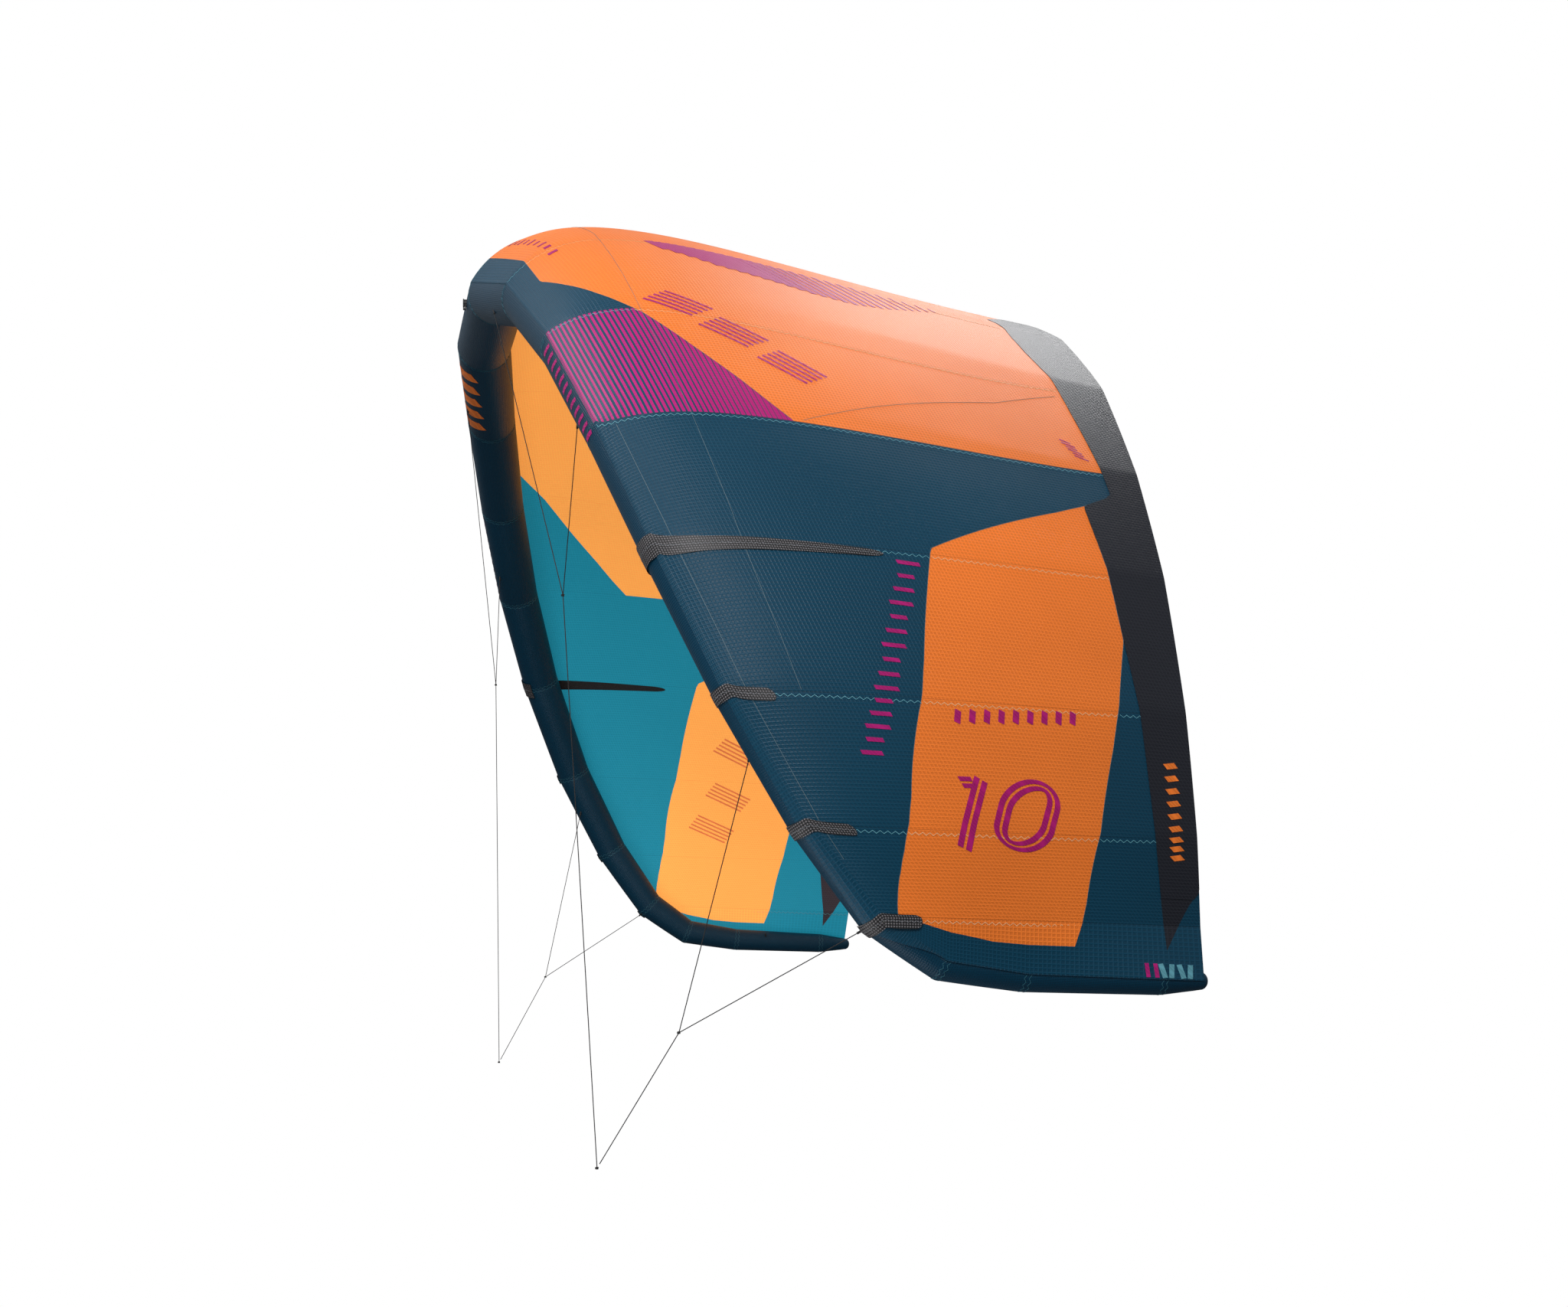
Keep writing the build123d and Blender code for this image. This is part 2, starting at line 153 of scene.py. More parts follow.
# Centre, travel, crown and aft directions of the mitre plane at a seam.
def stationFrame(station):
    centre = axisPoints[station]
    before = centre - axisPoints[station - 1] if station else np.array([1.0, 0, 0])
    after = before if station == tipStation else axisPoints[station + 1] - centre
    travel = unit(unit(before) + unit(after))
    aim = trailingPoint(station) - centre if station <= seamCount else np.array([0, 0, 1.0])
    crown = unit(np.cross(travel, aim))
    return np.array([centre, travel, crown, unit(np.cross(crown, travel))])


rings = np.array([stationFrame(n) for n in range(tipStation + 1)])


# Four control points of a seam's section: it leaves the tube at a tangent and ends at the trailing edge.
def sectionPoints(station):
    centre, _, crown, aft = rings[station]
    angle = math.radians(wing["leaveAngles"][station])
    start = centre + (aft * math.sin(angle) + crown * math.cos(angle)) * (radii[station] + wing["skinLift"])
    tail = trailingPoint(station)
    chord = np.linalg.norm(tail - start)
    along = unit((tail - start) - crown * ((tail - start) @ crown))
    leave = along * math.cos(angle) - crown * math.sin(angle)
    line = unit(tail - start)
    rise = unit(crown - line * (crown @ line))
    slope = math.radians(wing["tailAngles"][station])
    arrive = line * math.cos(slope) - rise * math.sin(slope)
    return np.array([start, start + leave * chord * wing["noseReaches"][station],
                     tail - arrive * chord * wing["tailReaches"][station], tail])


sections = np.array([sectionPoints(n) for n in range(seamCount + 1)])
allSections = np.concatenate([sections[::-1] * mirrorX, sections])
spanKnots = np.concatenate([[wing["centreHalf"]], wing["centreHalf"] + np.cumsum(wing["spanLengths"])])
allKnots = np.concatenate([-spanKnots[::-1], spanKnots])
tubeKnots = np.concatenate([spanKnots, spanKnots[-1] + np.cumsum(wing["tipLengths"])])
allTubeKnots = np.concatenate([-tubeKnots[::-1], tubeKnots])
allRings = np.concatenate([rings[::-1] * mirrorX, rings])
allRadii = np.concatenate([radii[::-1], radii])


# A row of values along the span, joined by straight runs.
def alongStraight(knots, values, span):
    i = np.clip(np.searchsorted(knots, span, side="right") - 1, 0, len(knots) - 2)
    share = (span - knots[i]) / (knots[i + 1] - knots[i])
    share = share.reshape(share.shape + (1,) * (values.ndim - 1))
    return values[i] * (1 - share) + values[i + 1] * share


# The same row joined by cubics whose slopes at the knots are the weighted mean of both sides.
def alongSmooth(knots, values, span):
    gaps = np.diff(knots)
    shape = (-1,) + (1,) * (values.ndim - 1)
    slopes = np.diff(values, axis=0) / gaps.reshape(shape)
    ahead, behind = gaps[1:].reshape(shape), gaps[:-1].reshape(shape)
    inner = (slopes[:-1] * ahead + slopes[1:] * behind) / (ahead + behind)
    first = 1.5 * slopes[:1] - 0.5 * inner[:1]
    last = 1.5 * slopes[-1:] - 0.5 * inner[-1:]
    tangents = np.concatenate([first, inner, last])
    i = np.clip(np.searchsorted(knots, span, side="right") - 1, 0, len(knots) - 2)
    gap = gaps[i]
    t = (span - knots[i]) / gap
    t = t.reshape(t.shape + (1,) * (values.ndim - 1))
    gap = gap.reshape(t.shape)
    return (values[i] * (1 + 2 * t) * (1 - t) ** 2 + tangents[i] * gap * t * (1 - t) ** 2
            + values[i + 1] * t**2 * (3 - 2 * t) + tangents[i + 1] * gap * t**2 * (t - 1))


# A cubic's point: the four control points weighed by the share t along it.
def bezier(controls, t):
    t = t[..., None]
    rest = 1 - t
    return (controls[..., 0, :] * rest**3 + controls[..., 1, :] * 3 * t * rest**2
            + controls[..., 2, :] * 3 * t**2 * rest + controls[..., 3, :] * t**3)


# Share of the way from low to high, eased at both ends: three times its square less twice its cube.
def smoothStep(value, low, high):
    share = np.clip((value - low) / (high - low), 0, 1)
    return share * share * (3 - 2 * share)


tubeShape = {
    "swell": 0.0035,  # how far a segment's middle swells, as a share of its radius
    "swellReach": 0.12,
    "crease": 0.0003,  # depth of the crease at a mitre, metres
    "creaseWidth": 0.006,
    "pucker": 0.0005,  # height of the small folds beside a mitre, metres
    "puckerStart": 0.006,
    "puckerReach": 0.045,
    "puckerCount": 34,
    "puckerTurn": 2.1,  # radians that the folds turn from one mitre to the next
    "puckerMean": 0.55,
    "puckerSwing": 0.45,  # folds are this much weaker at the crown and stronger at the bottom
    "endMargin": 0.01,
}


# Point on the tube: the mitre rings joined by straight runs, the radius swelled between mitres,
# creased at them and puckered beside them; angle 0 is the crown and 90 points aft.
def tubePoint(span, angle, lift=0.0, plain=False):
    span, angle = np.broadcast_arrays(np.asarray(span, float), np.asarray(angle, float))
    ring = alongStraight(allTubeKnots, allRings, span)
    radius = alongStraight(allTubeKnots, allRadii, span)
    radians = np.radians(angle)
    if not plain:
        gap = np.abs(span[..., None] - allTubeKnots)
        near = gap.min(-1)
        inside = (near > 0) & (np.abs(span) < tubeKnots[-1] - tubeShape["endMargin"])
        radius = radius * (1 + tubeShape["swell"] * smoothStep(near, 0, tubeShape["swellReach"]))
        radius = radius - tubeShape["crease"] * np.exp(-((near / tubeShape["creaseWidth"]) ** 2))
        fold = np.sin(radians * tubeShape["puckerCount"] + tubeShape["puckerTurn"] * gap.argmin(-1))
        fold = fold * (tubeShape["puckerMean"] - tubeShape["puckerSwing"] * np.cos(radians))
        reach = np.exp(-near / tubeShape["puckerReach"]) * (1 - np.exp(-near / tubeShape["puckerStart"]))
        radius = radius + tubeShape["pucker"] * fold * reach * inside
    out = unit(ring[..., 3, :] * np.sin(radians)[..., None] + ring[..., 2, :] * np.cos(radians)[..., None])
    return ring[..., 0, :] + out * (radius + lift)[..., None]


joinAngles = np.array(wing["joinAngles"])
leaveAngles = np.array(wing["leaveAngles"])


# Point on the canopy: span in metres along the tube from the middle; t from -1 at the stitched
# front edge over 0, where the cloth leaves the tube, to 1 at the trailing edge. Forward of 0 it
# turns round the tube, aft of it it follows the cubics of the seams, blended along the span.
def canopyPoint(span, t):
    span, t = np.broadcast_arrays(np.asarray(span, float), np.asarray(t, float))
    forward = np.clip(t, 0, 1)
    straight = bezier(alongStraight(allKnots, allSections, span), forward)
    smooth = bezier(alongSmooth(allKnots, allSections, span), forward)
    ease = smoothStep(forward, wing["smoothFrom"], wing["smoothTo"]) * wing["smoothShare"]
    ease = (ease * (1 - wing["tailStraight"] * smoothStep(forward, wing["tailFrom"], 1.0)))[..., None]
    body = straight * (1 - ease) + smooth * ease
    position = np.interp(np.abs(span), spanKnots, np.arange(seamCount + 1.0))
    low = np.interp(position, np.arange(seamCount + 1.0), leaveAngles)
    front = np.interp(position, np.arange(seamCount + 1.0), joinAngles)
    wrap = tubePoint(span, low + (front - low) * np.clip(-t, 0, 1), wing["skinLift"], plain=True)
    return np.where((t < 0)[..., None], wrap, body)


# Outward normal and the two tangents of a surface, from small steps in its two parameters.
def surfaceFrame(surface, u, v, step=0.002):
    du = unit(surface(u + step, v) - surface(u - step, v))
    dv = unit(surface(u, v + step) - surface(u, v - step))
    return unit(np.cross(du, dv)), du, dv


stationAt = np.arange(seamCount + 1.0)
reachShares = np.linspace(0, 1, 81)
reachPoints = canopyPoint(spanKnots[:, None], reachShares[None, :])
reachLengths = np.concatenate([
    np.zeros((seamCount + 1, 1)),
    np.cumsum(np.linalg.norm(np.diff(reachPoints, axis=1), axis=-1), axis=1)], axis=1)


# Span in metres of a seam position, by straight runs between the seams.
def spanOf(position):
    return np.interp(position, stationAt, spanKnots)


# Metres aft of the leaving line at each even share of the section, for every seam position.
def reachRows(position):
    i = np.clip(np.abs(position).astype(int), 0, seamCount - 1)
    share = np.clip(np.abs(position) - i, 0, 1)[..., None]
    return reachLengths[i] * (1 - share) + reachLengths[i + 1] * share


# Share t of the section that lies a given number of metres aft of where the cloth leaves the tube.
def shareAt(position, reach):
    position, reach = np.broadcast_arrays(np.asarray(position, float), np.asarray(reach, float))
    rows = reachRows(position)
    j = np.clip((rows < reach[..., None]).sum(-1) - 1, 0, len(reachShares) - 2)[..., None]
    before, after = (np.take_along_axis(rows, j + step, -1)[..., 0] for step in (0, 1))
    return (j[..., 0] + (reach - before) / np.maximum(after - before, 1e-9)) / (len(reachShares) - 1)


# Metres aft of the leaving line at a share of the section, negative on the wrap round the tube.
def reachOf(position, t):
    position, t = np.broadcast_arrays(position, t)
    rows = reachRows(position)
    spot = np.clip(t, 0, 1) * (len(reachShares) - 1)
    j = np.clip(spot.astype(int), 0, len(reachShares) - 2)[..., None]
    before, after = (np.take_along_axis(rows, j + step, -1)[..., 0] for step in (0, 1))
    return before + (after - before) * (spot - j[..., 0]) + np.clip(t, -1, 0) * wing["wrapReach"]


# A seam's span at share t: the seam's place on the tube plus a bow that fades at both edges.
def seamSpan(number, t):
    ahead = np.clip(t, 0, 1) ** wing["seamSkews"][number]
    return spanKnots[number] + wing["seamBows"][number] * np.sqrt(np.clip(4 * ahead * (1 - ahead), 0, 1))


# Tip: the panel between the last seam and the tube's swept end.
# The lower line of the tip panel follows the tube; its share t runs as the last seam's does.
tipSpot = np.linspace(seamCount, tipStation, 65)
tipLift = wing["skinLift"] + wing["tipExtraLift"]
seamLeave = wing["leaveAngles"][-1]
tipAngle = seamLeave + (wing["tipLeaveAngle"] - seamLeave) * np.clip(tipSpot - seamCount, 0, 1)
tipTurn = smoothStep(tipSpot - seamCount, -0.15, 1.0)
tipJoin = joinAngles[-1] + (wing["tipJoinAngle"] - joinAngles[-1]) * tipTurn
tipJoin = np.minimum(tipJoin, tipAngle - 0.01)
tipJoin[0] = joinAngles[-1]
stationTube = np.arange(tipStation + 1.0)
tipLow = tubePoint(np.interp(tipSpot, stationTube, tubeKnots), tipAngle, tipLift, plain=True)
tipShare = (tipLow[:, 1] - tipLow[0, 1]) / (tipLow[-1, 1] - tipLow[0, 1])


# Point of the tip panel: across is 0 on the last seam, 1 on the tube and 2 on the stitched edge
# round its front; between seam and tube the two lines are joined by straight runs.
def tipPoint(across, t):
    across, t = np.broadcast_arrays(np.asarray(across, float), np.asarray(t, float))
    high = bezier(np.broadcast_to(sections[-1], t.shape + (4, 3)), np.clip(t, 0, 1))
    rise = (high[..., 1] - sections[-1][0, 1]) / (sections[-1][3, 1] - sections[-1][0, 1])
    low = np.stack([np.interp(rise, tipShare, tipLow[:, n]) for n in range(3)], -1)
    spot = np.interp(rise, tipShare, tipSpot)
    front = np.interp(spot, tipSpot, tipJoin)
    leave = np.interp(spot, tipSpot, tipAngle)
    wrap = tubePoint(np.interp(spot, stationTube, tubeKnots),
                     leave + (front - leave) * np.clip(across - 1, 0, 1), tipLift, plain=True)
    share = np.clip(across, 0, 1)[..., None]
    return np.where((across > 1)[..., None], wrap, high * (1 - share) + low * share)


print("wing shape worked out")

# Materials.
# A colour of 0 to 255 steps turned into light: each share over the curve of a screen.
def linear(red, green, blue):
    values = np.array([red, green, blue]) / 255
    return tuple(np.where(values <= 0.04045, values / 12.92, ((values + 0.055) / 1.055) ** 2.4)) + (1.0,)


# An empty material with one shader on its surface.
def newMaterial(name):
    material = bpy.data.materials.new(name)
    material.use_nodes = True
    tree = material.node_tree
    tree.nodes.clear()
    output = tree.nodes.new("ShaderNodeOutputMaterial")
    shader = tree.nodes.new("ShaderNodeBsdfPrincipled")
    tree.links.new(shader.outputs["BSDF"], output.inputs["Surface"])
    return material, tree, shader


# One sum or function of one or two numbers or sockets.
def mathNode(tree, operation, first, second=None):
    node = tree.nodes.new("ShaderNodeMath")
    node.operation = operation
    for socket, value in zip(node.inputs, (first, second)):
        if value is None:
            continue
        if isinstance(value, (int, float)):
            socket.default_value = value
        else:
            tree.links.new(value, socket)
    return node.outputs[0]


# A value from low to high turned into one from outLow to outHigh, eased at both ends if smooth.
def mapRange(tree, value, low, high, outLow, outHigh, smooth=True):
    node = tree.nodes.new("ShaderNodeMapRange")
    node.interpolation_type = "SMOOTHSTEP" if smooth else "LINEAR"
    tree.links.new(value, node.inputs["Value"])
    for name, number in (("From Min", low), ("From Max", high), ("To Min", outLow), ("To Max", outHigh)):
        node.inputs[name].default_value = number
    return node.outputs["Result"]


# Two colours mixed by a factor, or multiplied.
def mixColour(tree, factor, first, second, blend="MIX"):
    node = tree.nodes.new("ShaderNodeMix")
    node.data_type = "RGBA"
    node.blend_type = blend
    sockets = [socket for socket in node.inputs if socket.enabled]
    for socket, value in zip(sockets, (factor, first, second)):
        if isinstance(value, (int, float, tuple)):
            socket.default_value = value
        else:
            tree.links.new(value, socket)
    return [socket for socket in node.outputs if socket.enabled][0]


# A colour made brighter or darker by a factor, at most white.
def scaled(colour, factor):
    return tuple(min(1.0, part * factor) for part in colour[:3]) + (1.0,)


# The cloth's own coordinates in metres: along the span and aft.
def clothCoordinates(tree):
    uv = tree.nodes.new("ShaderNodeUVMap")
    uv.uv_map = "cloth"
    split = tree.nodes.new("ShaderNodeSeparateXYZ")
    tree.links.new(uv.outputs["UV"], split.inputs["Vector"])
    return split.outputs["X"], split.outputs["Y"]


# Noise in the piece's own space, so many lumps to a metre.
def noise(tree, scale, detail):
    place = tree.nodes.new("ShaderNodeTexCoord")
    node = tree.nodes.new("ShaderNodeTexNoise")
    node.inputs["Scale"].default_value = scale
    node.inputs["Detail"].default_value = detail
    tree.links.new(place.outputs["Object"], node.inputs["Vector"])
    return node.outputs["Fac"]


# Small relief: a height of 0 to 1 times the depth in metres, tilted into the normal.
def addRelief(tree, shader, height, strength, depth):
    relief = tree.nodes.new("ShaderNodeBump")
    relief.inputs["Strength"].default_value = strength
    relief.inputs["Distance"].default_value = depth
    tree.links.new(height, relief.inputs["Height"])
    tree.links.new(relief.outputs["Normal"], shader.inputs["Normal"])


# A grid of raised threads: distance to the nearest thread along and across, sharpened.
def threadGrid(tree, pitch, width):
    lines = []
    for metres in clothCoordinates(tree):
        wave = mathNode(tree, "PINGPONG", metres, pitch / 2)
        lines.append(mapRange(tree, wave, 0.0, width, 1.0, 0.0))
    return mathNode(tree, "MAXIMUM", lines[0], lines[1])


clothFinish = {
    "gridPitch": 0.0100,
    "gridWidth": 0.0026,
    "gridShade": 0.80,  # brightness between the threads of the grid
    "gridShine": 1.06,  # brightness on them
    "grainScale": 900.0,
    "grainShare": 0.35,  # of the relief's height
    "reliefDepth": 0.0011,
    "blotchScale": 2.2,
    "blotchDark": 0.93,
    "blotchBright": 1.05,
    "seamWidth": 0.0007,
    "seamShade": 0.70,
    "specular": 0.22,
}


# Woven cloth: the colour shaded between its threads, multiplied by wide blotches and by a darker
# line at the seams; the threads and a fine grain are its relief.
def addClothFinish(tree, shader, colour, roughness, pitch, shade, bump, seam=True):
    grid = threadGrid(tree, pitch, clothFinish["gridWidth"])
    base = colour
    if isinstance(colour, tuple):
        base = mixColour(tree, grid, scaled(colour, shade), scaled(colour, clothFinish["gridShine"]))
    tone = mapRange(tree, noise(tree, clothFinish["blotchScale"], 3.0), 0.3, 0.7,
                    clothFinish["blotchDark"], clothFinish["blotchBright"], smooth=False)
    base = mixColour(tree, 1.0, base, tone, "MULTIPLY")
    if seam:
        edge = tree.nodes.new("ShaderNodeAttribute")
        edge.attribute_name = "seamDistance"
        line = mapRange(tree, edge.outputs["Fac"], clothFinish["seamWidth"], clothFinish["seamWidth"] * 1.8,
                        clothFinish["seamShade"], 1.0)
        base = mixColour(tree, 1.0, base, line, "MULTIPLY")
    tree.links.new(base, shader.inputs["Base Color"])
    shader.inputs["Roughness"].default_value = roughness
    shader.inputs["Specular IOR Level"].default_value = clothFinish["specular"]
    grain = noise(tree, clothFinish["grainScale"], 2.0)
    height = mathNode(tree, "ADD", grid, mathNode(tree, "MULTIPLY", grain, clothFinish["grainShare"]))
    addRelief(tree, shader, height, bump, clothFinish["reliefDepth"])


# One colour of cloth; glow is painted backlight: emission standing in for the light that comes through it
# from behind.
def clothMaterial(name, colour, roughness=0.45, bump=0.6, pitch=clothFinish["gridPitch"],
                  shade=clothFinish["gridShade"], seam=True, glow=0.0):
    material, tree, shader = newMaterial(name)
    shader.inputs["Emission Color"].default_value = colour
    shader.inputs["Emission Strength"].default_value = glow
    addClothFinish(tree, shader, colour, roughness, pitch, shade, bump, seam)
    return material


stripes = {
    "pitch": 0.0135,
    "thinShare": 0.46,  # share of the pitch that a stripe covers at the front
    "fullShare": 1.02,
    "thinReach": 0.06,  # metres aft where they begin to widen
    "fullReach": 0.62,
    "roughness": 0.45,
    "bump": 0.35,
}


# Stripes along the span, each a share of the pitch that grows aft until they meet.
def stripedMaterial(name, ground, stripe):
    material, tree, shader = newMaterial(name)
    _, aft = clothCoordinates(tree)
    share = mathNode(tree, "FRACT", mathNode(tree, "DIVIDE", aft, stripes["pitch"]))
    duty = mapRange(tree, aft, stripes["thinReach"], stripes["fullReach"], stripes["thinShare"],
                    stripes["fullShare"], smooth=False)
    colour = mixColour(tree, mathNode(tree, "LESS_THAN", share, duty), ground, stripe)
    addClothFinish(tree, shader, colour, stripes["roughness"], clothFinish["gridPitch"], 1.0, stripes["bump"])
    return material


# The inside colours are lighter copies of the cloth's own colours: painted backlight, for light that comes
# through the cloth.
colours = {
    "teal": linear(3, 62, 86),
    "tealInner": linear(24, 126, 150),
    "orange": linear(252, 128, 46),
    "orangeInner": linear(255, 168, 80),
    "magenta": linear(176, 22, 112),
    "charcoal": linear(34, 36, 44),
    "charcoalInner": linear(70, 62, 70),
    "casing": linear(2, 50, 72),
    "threadTeal": linear(96, 160, 175),
    "threadOrange": linear(250, 190, 140),
    "threadLine": linear(92, 112, 120),
    "threadDark": linear(52, 110, 126),
    "threadGrey": linear(120, 124, 130),
    "webbing": linear(9, 9, 12),
    "webbingFleck": linear(116, 112, 115),
    "webbingInner": linear(10, 10, 12),
    "webbingInnerFleck": linear(26, 26, 30),
    "line": linear(16, 16, 18),
    "valve": linear(28, 28, 30),
    "bladder": linear(205, 212, 216),
    # The print seen through the cloth from inside: a lighter colour, and it glows: painted backlight.
    "reverseBacklit": linear(216, 116, 66),
}
# The inside materials also glow: painted backlight, emission standing in for light through the cloth.
materials = {
    "teal": clothMaterial("tealCloth", colours["teal"]),
    "tealInner": clothMaterial("tealClothInsideBacklit", colours["tealInner"], roughness=0.6, glow=0.64),
    "orange": clothMaterial("orangeCloth", colours["orange"]),
    "orangeInner": clothMaterial("orangeClothInsideBacklit", colours["orangeInner"], roughness=0.6, glow=0.64),
    "stripes": stripedMaterial("magentaStripes", colours["teal"], colours["magenta"]),
    "stripesInner": clothMaterial("magentaClothInsideBacklit", colours["tealInner"], roughness=0.6, glow=0.64),
    "charcoal": clothMaterial("charcoalCloth", colours["charcoal"], roughness=0.38),
    "charcoalInner": clothMaterial("charcoalClothInsideBacklit", colours["charcoalInner"], roughness=0.6, glow=0.12),
    "casing": clothMaterial("casingCloth", colours["casing"], roughness=0.42, bump=0.5, pitch=0.006,
                            shade=0.82, seam=False),
    "magenta": clothMaterial("magentaPrint", colours["magenta"], seam=False),
    "orangePrint": clothMaterial("orangePrint", colours["orange"], seam=False),
    # This print glows: painted backlight through the cloth.
    "reversePrintBacklit": clothMaterial("reversePrintBacklit", colours["reverseBacklit"], roughness=0.6, glow=0.58, seam=False),
    "tealPrint": clothMaterial("tealPrint", colours["threadTeal"], seam=False),
}


# One colour with a fine grain that shades it both ways and gives it relief.
def plainMaterial(name, colour, roughness, scale, contrast=0.25):
    material, tree, shader = newMaterial(name)
    grain = noise(tree, scale, 4.0)
    base = mixColour(tree, grain, scaled(colour, 1 - contrast), scaled(colour, 1 + contrast))
    tree.links.new(base, shader.inputs["Base Color"])
    shader.inputs["Roughness"].default_value = roughness
    addRelief(tree, shader, grain, 0.3, 0.0004)
    return material


webbing = {
    "pitch": 0.013,
    "roughness": 0.55,
    "fleckAt": 0.7,  # height of the weave from which it has the flecks' full colour
    "bump": 0.6,
    "reliefDepth": 0.0012,
}


# Diagonal two-tone weave: the product of two sine waves that run across each other.
def webbingMaterial(name, dark, light):
    material, tree, shader = newMaterial(name)
    along, aft = clothCoordinates(tree)
    waves = [mathNode(tree, "SINE", mathNode(tree, "MULTIPLY", mathNode(tree, operation, along, aft),
                                             2 * math.pi / webbing["pitch"]))
             for operation in ("ADD", "SUBTRACT")]
    level = mapRange(tree, mathNode(tree, "MULTIPLY", waves[0], waves[1]), 0.0, webbing["fleckAt"], 0.0, 1.0)
    tree.links.new(mixColour(tree, level, dark, light), shader.inputs["Base Color"])
    shader.inputs["Roughness"].default_value = webbing["roughness"]
    addRelief(tree, shader, level, webbing["bump"], webbing["reliefDepth"])
    return material


for key, name in (("threadTeal", "tealThread"), ("threadOrange", "orangeThread"),
                  ("threadLine", "seamLineThread"), ("threadDark", "darkTealThread"),
                  ("threadGrey", "greyThread")):
    materials[key] = plainMaterial(name, colours[key], 0.6, 900.0)
materials["patch"] = webbingMaterial("patchWebbing", colours["webbing"], colours["webbingFleck"])
materials["patchInner"] = webbingMaterial("patchWebbingInside", colours["webbingInner"],
                                          colours["webbingInnerFleck"])
materials["line"] = plainMaterial("bridleLine", colours["line"], 0.7, 1500.0)
materials["valve"] = plainMaterial("valvePlastic", colours["valve"], 0.45, 700.0)
materials["bladder"] = plainMaterial("bladderFilm", colours["bladder"], 0.35, 60.0, contrast=0.04)
print("materials made:", len(materials))


# Mesh making.
# Welds points that fall together and turns quads with one collapsed side into triangles.
def weld(points, faces):
    _, first, inverse = np.unique(np.round(points, 6), axis=0, return_index=True, return_inverse=True)
    inverse = inverse.reshape(-1)
    faces = inverse[faces]
    repeat = faces == np.roll(faces, -1, axis=1)
    crossed = (faces[:, 0] == faces[:, 2]) | (faces[:, 1] == faces[:, 3])
    count = repeat.sum(1)
    quads = np.flatnonzero((count == 0) & ~crossed)
    thin = np.flatnonzero((count == 1) & ~crossed)
    triangles = faces[thin][~repeat[thin]].reshape(-1, 3)
    return first, faces[quads], triangles, np.concatenate([quads, thin])


# Quads of a grid of rows and columns whose normals are column direction times row direction.
def gridFaces(rows, columns):
    row, column = np.mgrid[: rows - 1, : columns - 1]
    corner = (row * columns + column).ravel()
    return np.stack([corner, corner + 1, corner + 1 + columns, corner + columns], -1)


# An object in the scene from a mesh or a curve.
def addObject(name, data):
    item = bpy.data.objects.new(name, data)
    bpy.context.scene.collection.objects.link(item)
    return item


# A finished piece from welded points and faces: its cloths, its own coordinates and its distance
# to a seam, turned over for the left side, with a wall laid inwards where it has a thickness.
def makePiece(name, points, faces, slots, slotOf=None, uv=None, values=None, side=1.0, body="wing",
              replaces=(), thickness=None, paired=False, smooth=True):
    points = points.reshape(-1, 3) * np.array([side, 1.0, 1.0])
    first, quads, triangles, order = weld(points, faces)
    if side < 0:
        quads, triangles = quads[:, ::-1], triangles[:, ::-1]
    mesh = bpy.data.meshes.new(name)
    mesh.from_pydata(points[first].tolist(), [], quads.tolist() + triangles.tolist())
    for material in slots:
        mesh.materials.append(material)
    if slotOf is not None:
        mesh.polygons.foreach_set("material_index", slotOf[order].astype(np.int32))
    mesh.polygons.foreach_set("use_smooth", np.full(len(mesh.polygons), smooth))
    if uv is not None:
        corner = np.empty(len(mesh.loops), np.int32)
        mesh.loops.foreach_get("vertex_index", corner)
        layer = mesh.uv_layers.new(name="cloth")
        layer.data.foreach_set("uv", uv.reshape(-1, 2)[first][corner].astype(np.float32).ravel())
    if values is not None:
        attribute = mesh.attributes.new("seamDistance", "FLOAT", "POINT")
        attribute.data.foreach_set("value", values.ravel()[first].astype(np.float32))
    mesh.update()
    piece = addObject(name, mesh)
    if thickness:
        owners = np.empty(len(mesh.loops), np.int32)
        mesh.loops.foreach_get("edge_index", owners)
        rim = np.bincount(owners, minlength=len(mesh.edges)) == 1
        mesh.attributes.new("sharp_edge", "BOOLEAN", "EDGE").data.foreach_set("value", rim)
        solid = piece.modifiers.new("thickness", "SOLIDIFY")
        solid.thickness = thickness
        solid.offset = -1.0
        if paired:
            solid.material_offset = 1
    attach(piece, body)
    if replaces:
        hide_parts(*replaces)
    return piece


# Tube casing.
casing = {
    "wall": 0.0012,
    "aroundCount": 96,
    "alongStep": 0.012,
    "leastSteps": 8,
    "creaseMargin": 0.01,
    "endDome": 0.018,  # length of the rounded end at the wing tip
    "domeRings": 8,
}


# A stretch of the tube between two mitres; its end is a quarter of an ellipsoid where it is domed.
def casingPiece(name, start, stop, side, replaces, domed=False):
    count = max(casing["leastSteps"], int((stop - start) / casing["alongStep"]))
    span = np.linspace(start, stop, count)
    margin = casing["creaseMargin"]
    creases = tubeKnots[(tubeKnots > start + margin) & (tubeKnots < stop - margin)]
    span = np.unique(np.concatenate([span, creases]))
    angles = np.linspace(0, 360, casing["aroundCount"] + 1)
    points = tubePoint(span[None, :], angles[:, None])
    around = np.radians(angles)[:, None] * alongStraight(tubeKnots, radii, np.abs(span))[None, :]
    uv = np.stack([np.broadcast_to(span[None, :], around.shape), around], -1)
    if domed:
        centre, travel = rings[-1][0], rings[-1][1]
        turns = np.radians(np.linspace(0, 90, casing["domeRings"] + 1)[1:])[None, :, None]
        push = np.sin(turns) * casing["endDome"]
        dome = centre + (points[:, -1:, :] - centre) * np.cos(turns) + travel * push
        points = np.concatenate([points, dome], 1)
        uv = np.concatenate([uv, uv[:, -1:] + push * np.array([1.0, 0.0])], 1)
    piece = makePiece(name, points, gridFaces(*points.shape[:2]), [materials["casing"]], uv=uv, side=side,
                      replaces=replaces, thickness=casing["wall"])


